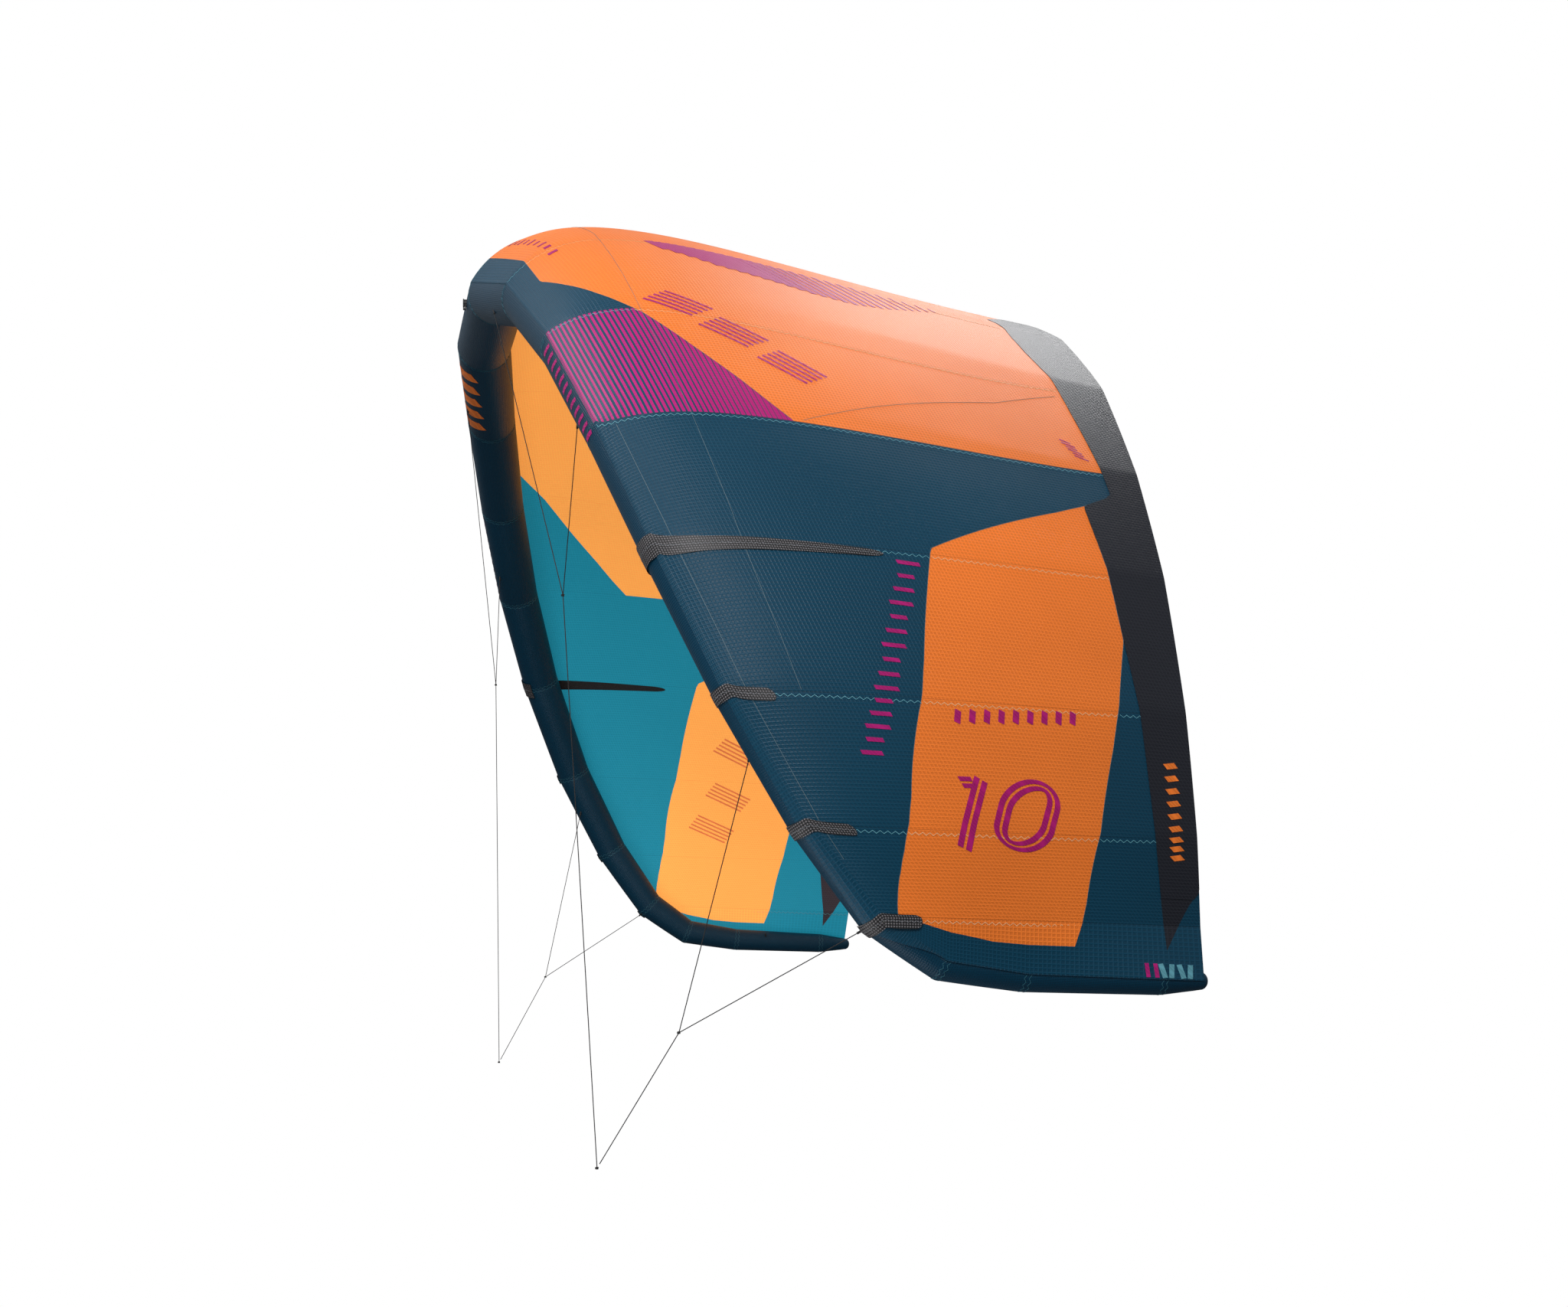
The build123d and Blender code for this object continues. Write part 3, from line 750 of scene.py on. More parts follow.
casingPiece("casingCentre", -tubeKnots[0], tubeKnots[0], 1.0, ["le_casing_centre"])
for sideName, side in sides:
    for number in range(1, seamCount + 1):
        casingPiece(f"casing{number}{sideName.title()}", tubeKnots[number - 1], tubeKnots[number], side,
                    [f"le_casing_{number}_{sideName}"])
    casingPiece(f"casingTip{sideName.title()}", tubeKnots[seamCount], tubeKnots[-1], side,
                [f"le_casing_tip_{sideName}"], domed=True)
print("tube casing made")

# Canopy: one curved cloth, cut along its seams and colour joins.
# Each colour join is a line of (seam position, share of the section) corners.
colourJoins = {
    "hem": [(0.0, 0.088), (0.9, 0.083), (1.41, 0.081), (1.67, 0.137), (1.92, 0.197), (2.20, 0.279),
            (2.56, 0.359), (2.82, 0.421), (3.2, 0.502)],
    "panelTop": [(2.9, 0.952), (3.06, 0.954), (3.29, 0.956), (3.44, 0.912), (3.55, 0.868), (4.04, 0.639),
                 (4.2, 0.62)],
    "panelFront": [(3.8, 0.66), (4.04, 0.639), (4.81, 0.559), (5.08, 0.526), (5.81, 0.412), (6.07, 0.359),
                   (6.29, 0.311), (6.5, 0.256), (6.78, 0.169), (7.0, 0.095), (7.2, 0.03)],
    "panelBack": [(3.8, 0.915), (4.0, 0.917), (4.34, 0.918), (4.53, 0.919), (5.04, 0.888), (5.35, 0.867),
                  (6.05, 0.809), (6.79, 0.740), (7.0, 0.715), (7.2, 0.70)],
    "bandFront": [(0.0, 0.985), (0.27, 0.975), (0.87, 0.932), (1.10, 0.939), (1.31, 0.936), (1.63, 0.935),
                  (1.88, 0.938), (2.06, 0.942), (2.45, 0.946), (3.06, 0.954), (3.29, 0.956), (3.44, 0.912),
                  (3.70, 0.914), (4.0, 0.917), (4.53, 0.919), (5.03, 0.924), (6.02, 0.920), (6.76, 0.915),
                  (7.2, 0.913)],
    "bandBack": [(0.0, 1.0), (6.62, 1.0), (6.74, 0.98), (7.0, 0.949), (7.2, 0.935)],
}
stripPlans = [(["hem", "bandFront"], ["teal", "orange", "charcoal"])] * 3 + [
    (["hem", "bandFront"], ["stripes", "orange", "charcoal"]),
    (["panelTop", "bandFront"], ["teal", "orange", "charcoal"]),
    (["panelFront", "panelBack", "bandFront"], ["teal", "orange", "teal", "charcoal"]),
    (["panelFront", "panelBack", "bandFront"], ["teal", "orange", "teal", "charcoal"]),
    (["panelFront", "panelBack", "bandFront", "bandBack"], ["teal", "orange", "teal", "charcoal", "teal"]),
]
clothNames = ["teal", "orange", "stripes", "charcoal"]
# Each cloth's inside face gets its lighter, glowing copy: painted backlight.
canopySlots = [materials[name + part] for name in clothNames for part in ("", "Inner")]
canopy = {
    "wall": 0.0006,
    "wrapRows": 8,
    "rowLength": 0.020,
    "columnLength": 0.022,
    "edge": 0.004,  # share of the section that normals are read inside its ends
}


# Share of the section at which a colour join lies, by straight runs between its corners.
def joinShare(name, position):
    corners = np.array(colourJoins[name])
    return np.interp(position, corners[:, 0], corners[:, 1])


# Position among the seams of a span in metres.
def positionOf(span):
    return np.interp(np.abs(span), spanKnots, stationAt)


# Outward normal of the canopy, read a little inside its two edges.
def canopyNormal(span, t):
    return surfaceFrame(canopyPoint, span, np.clip(t, canopy["edge"], 1 - canopy["edge"]))[0]


# Span of a strip at share v of its width: its two seams at share t, joined by straight runs.
def stripSpan(number, v, t):
    low = seamSpan(number - 1, t) if number else -seamSpan(0, t)
    return low * (1 - v) + seamSpan(number, t) * v


# Share t at which a strip's spanwise grid line meets a colour join, by repeated substitution.
def meetJoin(name, number, v):
    t = np.full(v.shape, 0.5)
    for _ in range(12):
        t = joinShare(name, positionOf(stripSpan(number, v, t)))
    return t


# Rows of a panel between its edge lines, each band cut into even rows; bands say which is which.
def bandRows(edges, length, rowLength, least):
    rows, bands = [], []
    for number, (start, stop) in enumerate(zip(edges[:-1], edges[1:])):
        count = max(least, int(np.max(stop - start) * length / rowLength))
        shares = np.linspace(0, 1, count + 1)[:-1, None]
        rows.append(start * (1 - shares) + stop * shares)
        bands.append(np.full(count, number))
    rows.append(edges[-1][None, :])
    return np.concatenate(rows), np.concatenate(bands)


# Rows of share t for a strip: the wrap, then bands between colour joins.
def stripRows(number, v):
    edges = [np.zeros_like(v)]
    for name in stripPlans[number][0]:
        edges.append(np.maximum(meetJoin(name, number, v), edges[-1]))
    edges.append(np.ones_like(v))
    rows, bands = bandRows(edges, reachLengths[number, -1], canopy["rowLength"], 2)
    wrap = np.linspace(-1, 0, canopy["wrapRows"] + 1)[:-1, None] * np.ones_like(v)
    return np.concatenate([wrap, rows]), np.concatenate([np.zeros(canopy["wrapRows"], int), bands])


# A strip of the canopy between two seams, on a grid of shares across and along it.
def canopyStrip(number, name, side, replaces):
    width = spanKnots[number] - spanKnots[number - 1] if number else 2 * spanKnots[0]
    columns = int(width / canopy["columnLength"]) | 1
    v = np.linspace(0, 1, columns + 1)
    t, bands = stripRows(number, v)
    span = stripSpan(number, v, t)
    points = canopyPoint(span, t)
    uv = np.stack([span, reachOf(positionOf(span), t)], -1)
    distance = np.minimum(v, 1 - v)[None, :] * np.abs(stripSpan(number, 1.0, t) - stripSpan(number, 0.0, t))
    colour = np.array([clothNames.index(cloth) for cloth in stripPlans[number][1]])[bands] * 2
    piece = makePiece(name, points, gridFaces(*t.shape), canopySlots, np.repeat(colour, columns), uv,
                      distance, side, replaces=replaces, thickness=canopy["wall"],
                      paired=True)


canopyStrip(0, "canopyCentre", 1.0, ["canopy_centre"])
for sideName, side in sides:
    for number in range(1, seamCount + 1):
        ending = f"{number}{sideName.title()}"
        canopyStrip(number, "canopyStrip" + ending, side,
                    [f"canopy_strip_{number}_{sideName}"])

tipPlan = {
    "panelEnd": 0.46,  # share of the way to the tube where the orange panel ends
    "panelFront": [(0.0, 0.095), (0.15, 0.12), (0.31, 0.30), (0.45, 0.463)],
    "panelBack": [(0.0, 0.715), (0.46, 0.695)],
    "bandFront": [(0.0, 0.914), (0.45, 0.918)],
    "bandBack": [(0.0, 0.949), (0.45, 0.920)],
    "bandCloths": ["teal", "orange", "teal", "charcoal", "teal"],
    "columns": 24,
    "wrapColumns": 8,
    "rowShare": 0.018,
    "width": 0.12,  # metres that the way to the tube counts as in patterns
}


# The tip panel on a grid of shares across and along it; colours only on the way to the tube.
def tipPanel(name, side, replaces):
    across = np.unique(np.concatenate([np.linspace(0, 1, tipPlan["columns"] + 1), [tipPlan["panelEnd"]]]))
    across = np.concatenate([across, np.linspace(1, 2, tipPlan["wrapColumns"] + 1)[1:]])
    edges = [np.zeros_like(across)]
    for key in ("panelFront", "panelBack", "bandFront", "bandBack"):
        corners = np.array(tipPlan[key])
        edges.append(np.interp(across, corners[:, 0], corners[:, 1]))
    edges.append(np.ones_like(across))
    t, bands = bandRows(edges, 1.0, tipPlan["rowShare"], 3)
    points = tipPoint(np.broadcast_to(across, t.shape), t)
    coloured = (across[1:] + across[:-1]) / 2 < tipPlan["panelEnd"]
    cloth = np.array([clothNames.index(cloth) for cloth in tipPlan["bandCloths"]])[bands][:, None] * coloured
    metres = np.broadcast_to(across * tipPlan["width"], t.shape)
    uv = np.stack([spanKnots[-1] + metres, reachLengths[-1, -1] * t], -1)
    piece = makePiece(name, points, gridFaces(*t.shape), canopySlots, (cloth * 2).ravel(), uv, metres, side,
                      replaces=replaces, thickness=canopy["wall"], paired=True)


for sideName, side in sides:
    tipPanel(f"canopyTip{sideName.title()}", side, [f"canopy_tip_{sideName}"])
print("canopy made")

# Trailing edge band: a doubler of charcoal cloth over the canopy's last stretch.
trailingBand = {
    "lift": 0.0007,
    "wall": 0.0006,
    "end": 6.70,  # seam position where it ends
    "leastShare": 0.002,
    "columns": 420,
    "rows": 10,
}


# The band from tip to tip, on the canopy between two colour joins, raised along the normal.
def bandPiece(name):
    reach = float(spanOf(trailingBand["end"]))
    span = np.linspace(-reach, reach, trailingBand["columns"])
    position = positionOf(span)
    back = joinShare("bandBack", position)
    front = np.minimum(joinShare("bandFront", position), back - trailingBand["leastShare"])
    shares = np.linspace(0, 1, trailingBand["rows"] + 1)[:, None]
    t = front * (1 - shares) + back * shares
    spans = np.broadcast_to(span, t.shape)
    points = canopyPoint(spans, t) + canopyNormal(spans, t) * (trailingBand["lift"] + trailingBand["wall"])
    uv = np.stack([spans, reachOf(position, t)], -1)
    piece = makePiece(name, points, gridFaces(*t.shape), [materials["charcoal"]], uv=uv,
                      values=np.full(t.shape, 1.0), replaces=["trailing_band"],
                      thickness=trailingBand["wall"])


bandPiece("trailingBand")
print("trailing band made")

# Load patches over the seams.
patchShape = {
    "lift": 0.0022,
    "wall": 0.0010,
    "step": 0.008,
    "capSteps": 12,
    "columns": 10,
    "shiftFrom": -0.10,  # metres aft between which a patch moves off its seam
    "shiftTo": 0.05,
    "capLeast": 0.0004,
    "underSink": 0.4,  # share of its wall that an inner tongue lies off the cloth
    "underStart": 0.02,
}
longPatch = {
    "seam": 4, "shift": 0.016, "length": 0.56, "underAngle": -150.0, "roundFrom": 0.50,
    "widths": [(-0.25, 0.033), (-0.02, 0.033), (0.04, 0.026), (0.12, 0.020), (0.30, 0.016), (0.50, 0.011)],
}
shortPatch = {
    "seams": [5, 6, 7], "shift": 0.010, "length": 0.095, "underAngle": -97.0, "roundFrom": 0.080,
    "widths": [(-0.20, 0.020), (0.0, 0.018), (0.09, 0.017)],
}


# Body and normals of the cloth beside a seam; past the last seam it carries straight on downwards.
def clothBeside(seam, span, t):
    if seam < seamCount:
        return canopyPoint(span, t), canopyNormal(span, t)
    body = canopyPoint(np.minimum(span, spanKnots[-1]), t)
    beyond = np.clip(span - spanKnots[-1], 0, None)[..., None]
    body = np.where(beyond > 0, body + np.array([0.0, 0.0, -1.0]) * beyond, body)
    return body, canopyNormal(np.minimum(span, spanKnots[-1] - 0.003), t)


# A patch that follows a seam: from the tube's underside round to the leaving line, then aft along
# the cloth; its half width comes from the table and its end is rounded.
def patchPiece(name, seam, plan, side, replaces, under=False):
    radius = radii[seam]
    leave = wing["leaveAngles"][seam]
    roundFrom, length = plan["roundFrom"], plan["length"]
    start = patchShape["underStart"] if under else -math.radians(leave - plan["underAngle"]) * radius
    along = np.linspace(start, length, int((length - start) / patchShape["step"]) + 2)
    turns = np.linspace(0, math.pi / 2, patchShape["capSteps"])
    along = np.unique(np.concatenate([along, length - (length - roundFrom) * (1 - np.sin(turns))]))
    table = np.array(plan["widths"])
    half = np.interp(along, table[:, 0], table[:, 1])
    cap = np.clip((along - roundFrom) / (length - roundFrom), 0, 1)
    half = half * np.sqrt(np.clip(1 - cap**2, patchShape["capLeast"], 1))
    across = np.linspace(-1, 1, patchShape["columns"] + 1)[None, :]
    shift = plan["shift"] * smoothStep(along, patchShape["shiftFrom"], patchShape["shiftTo"])
    offset = across * half[:, None] + shift[:, None]
    reach = np.broadcast_to(along[:, None], offset.shape)
    span = spanKnots[seam] + offset
    t = shareAt(positionOf(span), np.clip(reach, 0, None))
    span = span + (seamSpan(seam, t) - spanKnots[seam])
    body, normal = clothBeside(seam, span, t)
    angles = leave + np.degrees(reach / radius)
    wrap = tubePoint(span, angles, wing["skinLift"], plain=True)
    ring = alongStraight(allTubeKnots, allRings, span)
    radians = np.radians(angles)[..., None]
    wrapNormal = unit(ring[..., 3, :] * np.sin(radians) + ring[..., 2, :] * np.cos(radians))
    aft = (reach > 0)[..., None]
    normal = np.where(aft, normal, wrapNormal)
    sink = canopy["wall"] + patchShape["wall"] * patchShape["underSink"]
    points = np.where(aft, body, wrap) + normal * (-sink if under else patchShape["lift"])
    piece = makePiece(name, points, gridFaces(*reach.shape), [materials["patchInner" if under else "patch"]],
                      uv=np.stack([offset, reach], -1), side=side, replaces=replaces,
                      thickness=patchShape["wall"])
    return points


patchGrids = {}
for sideName, side in sides:
    title = sideName.title()
    seam = longPatch["seam"]
    patchGrids[seam] = patchPiece(f"longPatch{title}", seam, longPatch, side, [f"load_patch_long_{sideName}"])
    patchPiece(f"innerPatch{title}", seam, longPatch, side, [f"load_patch_inner_{sideName}"], under=True)
    for seam in shortPatch["seams"]:
        patchGrids[seam] = patchPiece(f"shortPatch{seam}{title}", seam, shortPatch, side,
                                      [f"load_patches_short_{sideName}"])
print("load patches made")


# Stitching.
thread = {
    "height": 0.0005,
    "lift": 0.0002,
    "seam": {"width": 0.0015, "pitch": 0.018, "swing": 0.0034, "offset": -0.010},
    "line": {"width": 0.0009, "pitch": 0.020, "swing": 0.0, "offset": 0.0},
    "patch": {"width": 0.0008, "pitch": 0.014, "swing": 0.0022, "offset": 0.0, "lift": 0.0001},
    "mitre": {"width": 0.0010, "pitch": 0.018, "swing": 0.0030, "offset": 0.0},
    "mitreShifts": (-0.006, 0.006),  # metres of the two rows from a mitre
}


# A thread laid on a surface: corners at even steps along a line, swung left and right in turn,
# each joined by a straight run with a flat rectangular section.
def threadRow(surface, u, v, plan):
    line = surface(u, v)
    arc = np.concatenate([[0], np.cumsum(np.linalg.norm(np.diff(line, axis=0), axis=-1))])
    stops = np.linspace(0, arc[-1], max(3, int(arc[-1] / (plan["pitch"] / 2)) + 1))
    u, v = np.interp(stops, arc, u), np.interp(stops, arc, v)
    place = surface(u, v)
    normal, _, _ = surfaceFrame(surface, u, v)
    travel = unit(np.gradient(place, axis=0))
    across = unit(np.cross(normal, travel))
    zigzag = plan["swing"] * (1 - 2 * (np.arange(len(stops)) % 2)) + plan["offset"]
    centre = place + across * zigzag[:, None] + normal * plan.get("lift", thread["lift"])
    ahead = travel if plan["swing"] else unit(np.gradient(centre, axis=0))
    side = unit(np.cross(normal, ahead)) * plan["width"] / 2
    rise = normal * thread["height"]
    corners = np.stack([centre - side, centre - side + rise, centre + side + rise, centre + side], 1)
    count = len(stops)
    walls = np.array([[0, 1, 5, 4], [1, 2, 6, 5], [2, 3, 7, 6], [3, 0, 4, 7]])
    faces = np.arange(count - 1)[:, None, None] * 4 + walls[None]
    ends = np.array([[0, 3, 2, 1], [4 * count - 4, 4 * count - 3, 4 * count - 2, 4 * count - 1]])
    return corners.reshape(-1, 3), np.concatenate([faces.reshape(-1, 4), ends])


# Several meshes as one: points in a row, and faces counted on from the points before them.
def joinRows(rows):
    starts = np.cumsum([0] + [len(points) for points, _ in rows])
    return (np.concatenate([points for points, _ in rows]),
            np.concatenate([faces + start for (_, faces), start in zip(rows, starts)]))


seamRun = {"start": 0.003, "steps": 260, "least": 4}


# Runs of a seam in which the cloth below it keeps one kind of thread.
def seamRuns(number):
    t = np.linspace(seamRun["start"], 1 - seamRun["start"], seamRun["steps"])
    span = seamSpan(number, t)
    joins, cloths = stripPlans[min(number + 1, seamCount)]
    band = sum((t > joinShare(name, positionOf(span))).astype(int) for name in joins)
    kinds = np.array([cloth == "orange" for cloth in cloths])[band]
    cuts = np.flatnonzero(np.diff(kinds.astype(int))) + 1
    return [(span[run], t[run], bool(kinds[run[0]])) for run in np.split(np.arange(len(t)), cuts)
            if len(run) >= seamRun["least"]]


# Lines sewn along the span: reach in metres aft of the leaving line at each seam position.
sewnLines = {
    "front": [(3.11, 0.045), (3.88, 0.045), (4.67, 0.040), (5.02, 0.036), (5.49, 0.030), (5.93, 0.025),
              (6.4, 0.012)],
    "second": [(0.0, 0.33), (1.0, 0.30), (2.20, 0.253), (3.12, 0.236), (3.85, 0.216), (4.27, 0.197),
               (4.70, 0.182), (5.06, 0.162)],
}
sewnFrom = {"front": 3.11, "second": 0.0}
joinLines = [("hem", 0.02, 3.13), ("panelTop", 3.3, 4.04), ("panelFront", 4.04, 6.98),
             ("panelBack", 3.45, 6.98)]
cornerLine = [(3.12, 0.508), (2.52, 0.847), (2.26, 0.935)]  # seam position and share of the section
lineSteps = {"sewn": 200, "join": 160, "corner": 80, "patch": 200, "mitre": 240}


# Span and share of a sewn line: its reach by straight runs between the corners.
def sewnRow(name):
    table = np.array(sewnLines[name])
    position = np.linspace(sewnFrom[name], table[-1, 0], lineSteps["sewn"])
    return spanOf(position), shareAt(position, np.interp(position, table[:, 0], table[:, 1]))


# Span and share along a colour join.
def joinRow(name, low, high):
    position = np.linspace(low, high, lineSteps["join"])
    return spanOf(position), joinShare(name, position)


# Span and share along the short line that cuts a corner.
def cornerRow():
    table = np.array(cornerLine)
    spot = np.linspace(0, len(table) - 1, lineSteps["corner"])
    position, t = (np.interp(spot, np.arange(len(table)), table[:, n]) for n in range(2))
    return spanOf(position), t


# The surface through a patch's grid of points: u counts columns and v counts rows.
def gridSurface(points):
    rows, columns = points.shape[0] - 1, points.shape[1] - 1

    def surface(u, v):
        i = np.clip(v.astype(int), 0, rows - 1)
        j = np.clip(u.astype(int), 0, columns - 1)
        down, across = (v - i)[..., None], (u - j)[..., None]
        return ((points[i, j] * (1 - across) + points[i, j + 1] * across) * (1 - down)
                + (points[i + 1, j] * (1 - across) + points[i + 1, j + 1] * across) * down)

    return surface


# The tube's surface with its angle in hundreds of degrees, so that one small step suits both ways.
def mitreSurface(span, hundreds):
    return tubePoint(span, hundreds * 100, plain=True)


tealRows, orangeRows = [], []
for number in range(seamCount + 1):
    for span, t, orange in seamRuns(number):
        (orangeRows if orange else tealRows).append(threadRow(canopyPoint, span, t, thread["seam"]))
lineRows = [threadRow(canopyPoint, *sewnRow(name), thread["line"]) for name in sewnLines]
lineRows += [threadRow(canopyPoint, *joinRow(*line), thread["line"]) for line in joinLines]
lineRows.append(threadRow(canopyPoint, *cornerRow(), thread["line"]))
patchRows, mitreRows = [], []
for grid in patchGrids.values():
    row = np.linspace(1.0, grid.shape[0] - 3.0, lineSteps["patch"])
    middle = np.full(len(row), patchShape["columns"] / 2)
    patchRows.append(threadRow(gridSurface(grid), middle, row, thread["patch"]))
hundreds = np.linspace(0, 3.6, lineSteps["mitre"])
for number in range(tipStation):
    for shift in thread["mitreShifts"]:
        span = np.full(len(hundreds), tubeKnots[number] + shift)
        mitreRows.append(threadRow(mitreSurface, span, hundreds, thread["mitre"]))
for sideName, side in sides:
    for name, rows, finish, slot in (("tealStitching", tealRows, "threadTeal", "teal_cloth"),
                                     ("orangeStitching", orangeRows, "threadOrange", "orange_cloth"),
                                     ("sewnLines", lineRows, "threadLine", "teal_cloth"),
                                     ("patchStitching", patchRows, "threadGrey", "teal_cloth"),
                                     ("mitreStitching", mitreRows, "threadDark", "casing_cloth")):
        points, faces = joinRows(rows)
        makePiece(name + sideName.title(), points, faces, [materials[finish]], side=side,
                  smooth=False)
print("stitching made")

# Prints: plain bars and a plain numeral where the cloth is decorated.
prints = {
    "lift": 0.0007,
    "overBand": 0.0021,  # lift where the trailing band lies below
    "underCloth": -0.0012,  # lift of the reverse side that shows through
    "wall": 0.0003,
    "step": 0.012,
    "curveStep": 0.005,
    "across": 4,  # points across a ribbon
    "inside": (0.0, 0.8, -1.2),  # a place inside the arch
}


# A ribbon along a line in the surface's own metres: the line pushed half a width to each side.
def printRibbon(stroke, surface, lift):
    line, width, offset = np.array(stroke[0], float), stroke[1], stroke[2] if len(stroke) > 2 else 0.0
    arc = np.concatenate([[0], np.cumsum(np.linalg.norm(np.diff(line, axis=0), axis=-1))])
    step = prints["step"] if len(line) < 3 else prints["curveStep"]
    stops = np.linspace(0, arc[-1], max(2, int(arc[-1] / step) + 1))
    centre = np.stack([np.interp(stops, arc, line[:, n]) for n in range(2)], -1)
    ahead = unit(np.gradient(centre, axis=0))
    if np.allclose(line[0], line[-1]):
        ahead[0] = ahead[-1] = unit(centre[1] - centre[-2])
    across = np.stack([-ahead[:, 1], ahead[:, 0]], -1)
    spread = offset + np.linspace(-0.5, 0.5, prints["across"])[None, :, None] * width
    spots = centre[:, None, :] + across[:, None, :] * spread
    u, v = spots[..., 0], spots[..., 1]
    normal, _, _ = surfaceFrame(surface, u, v)
    return surface(u, v) + normal * (lift + prints["wall"])


# The canopy in metres: along the span and aft of the leaving line.
def canopyMetres(span, reach):
    return canopyPoint(span, shareAt(positionOf(span), reach))


# The tube in metres: along the span and round from the crown.
def tubeMetres(span, around):
    radius = alongStraight(allTubeKnots, allRadii, span)
    return tubePoint(span, np.degrees(around / radius), plain=True)


# Tip panel in metres: up from the tube and forward of the trailing edge.
def tipMetres(up, back):
    t = 1 - back / reachLengths[-1, -1]
    height = np.linalg.norm(tipPoint(0.0, t) - tipPoint(1.0, t), axis=-1)
    return tipPoint(1 - up / height, t)


# True where most faces already look away from the wing's inside.
def looksOut(points, faces):
    first, second, third, fourth = (points[faces[:, n]] for n in range(4))
    outward = (first + third) / 2 - np.array(prints["inside"])
    return ((np.cross(third - first, fourth - second) * outward).sum(-1) > 0).mean() > 0.5


# One print from its strokes, turned to look out of the wing, or in where it is on the reverse side.
def printPiece(name, strokes, surface, finish, side=1.0, lift=prints["lift"]):
    grids = [printRibbon(stroke, surface, lift) for stroke in strokes]
    points, faces = joinRows([(grid.reshape(-1, 3), gridFaces(*grid.shape[:2])) for grid in grids])
    if looksOut(points, faces) == (lift < 0):
        faces = faces[:, ::-1]
    uv = np.stack([points[:, 0], points[:, 1] + points[:, 2]], -1)
    makePiece(name, points, faces, [materials[finish]], uv=uv, values=np.full(len(points), 1.0), side=side,
              thickness=prints["wall"])


# Moves points from a motif's own right and up metres to the wing's span and reach metres.
def placed(points, position, reach, tilt=0.0):
    points = np.array(points, float)
    angle = math.radians(tilt)
    right = points[:, 0] * math.cos(angle) - points[:, 1] * math.sin(angle)
    up = points[:, 0] * math.sin(angle) + points[:, 1] * math.cos(angle)
    return np.stack([float(spanOf(position)) - up, reach + right], -1)


# Rounded rectangle ring: four quarter circles joined by straight runs.
def roundRing(width, height, radius):
    angles = np.radians(np.arange(0, 361, 10))
    x, y = np.cos(angles), np.sin(angles)
    return np.stack([x * radius + np.where(x >= -1e-9, 1, -1) * (width / 2 - radius),
                     y * radius + np.where(y >= -1e-9, 1, -1) * (height / 2 - radius)], -1)


numeral = {
    "position": 5.92,
    "reach": 0.498,
    "tilt": 1.0,
    "height": 0.190,
    "line": 0.0120,
    "offset": 0.0090,  # of the two lines of each stroke from its middle
    "slant": 0.85,
    "ringWidth": 0.128,
    "ringRadius": 0.063,
    "ringX": 0.062,
    "stemX": -0.084,
    "flag": (-0.050, -0.017),  # its ends, from the stem
}


# The number ten in double lines: a stem with a flag, and a ring, all slanted.
def numeralStrokes():
    half = numeral["height"] / 2
    top = half - numeral["offset"]
    stem = numeral["stemX"]
    one = np.array([(stem, half), (stem, -half)])
    flag = np.array([(stem + end, top) for end in numeral["flag"]])
    ring = roundRing(numeral["ringWidth"], 2 * top, numeral["ringRadius"]) + np.array([numeral["ringX"], 0.0])
    strokes = []
    for line in (one, flag, ring):
        line = line + line[:, 1:] * np.array([numeral["slant"], 0.0])
        spot = placed(line, numeral["position"], numeral["reach"], numeral["tilt"])
        strokes += [(spot, numeral["line"], shift * numeral["offset"]) for shift in (-1, 1)]
    return strokes


# A row of bars between two places; each lies at the tilt, its length from the list in turn.
def barRow(count, first, last, lengths, width, tilt):
    strokes = []
    for number in range(count):
        share = number / (count - 1)
        position, reach = (start + (stop - start) * share for start, stop in zip(first, last))
        half = lengths[number % len(lengths)] / 2
        strokes.append((placed([(-half, 0.0), (half, 0.0)], position, reach, tilt), width))
    return strokes


hatch = {"count": 5, "length": 0.125, "gap": 0.021, "width": 0.0085, "rise": 0.022}


# Blocks of parallel thin lines at a list of places.
def hatchBlocks(places, tilt):
    half = hatch["length"] / 2
    strokes = []
    for position, reach in places:
        for number in range(hatch["count"]):
            shift = (number - (hatch["count"] - 1) / 2) * hatch["gap"]
            line = [(-half, shift - hatch["rise"]), (half, shift + hatch["rise"])]
            strokes.append((placed(line, position, reach, tilt), hatch["width"]))
    return strokes


edgeRow = {"count": 9, "start": 5.45, "step": 0.10, "fromEdge": 0.060, "half": (0.017, 0.003), "width": 0.015}


# Bars on the trailing band, so many metres forward of the trailing edge.
def edgeStrokes():
    x, y = edgeRow["half"]
    strokes = []
    for number in range(edgeRow["count"]):
        position = edgeRow["start"] + number * edgeRow["step"]
        total = float(np.interp(position, stationAt, reachLengths[:, -1]))
        strokes.append((placed([(-x, -y), (x, y)], position, total - edgeRow["fromEdge"]), edgeRow["width"]))
    return strokes


wedge = {
    "count": 27, "front": 0.47, "back": 1.30, "start": 1.03, "lean": 0.39,
    "ends": [(0.45, 1.10), (0.60, 1.20), (0.85, 1.26), (0.97, 1.26), (1.10, 1.20), (1.30, 1.06)],
    "widths": [(0.62, 0.031), (1.30, 0.006)],
}


# Leaning bars over the crest; their ends and widths follow the two tables.
def wedgeStrokes():
    strokes = []
    for reach in np.linspace(wedge["front"], wedge["back"], wedge["count"]):
        end = float(np.interp(reach, *np.array(wedge["ends"]).T))
        width = float(np.interp(reach, *np.array(wedge["widths"]).T))
        start = (wedge["start"], reach - wedge["lean"] * (end - wedge["start"]))
        strokes.append(([start, (end, reach)], width))
    return strokes


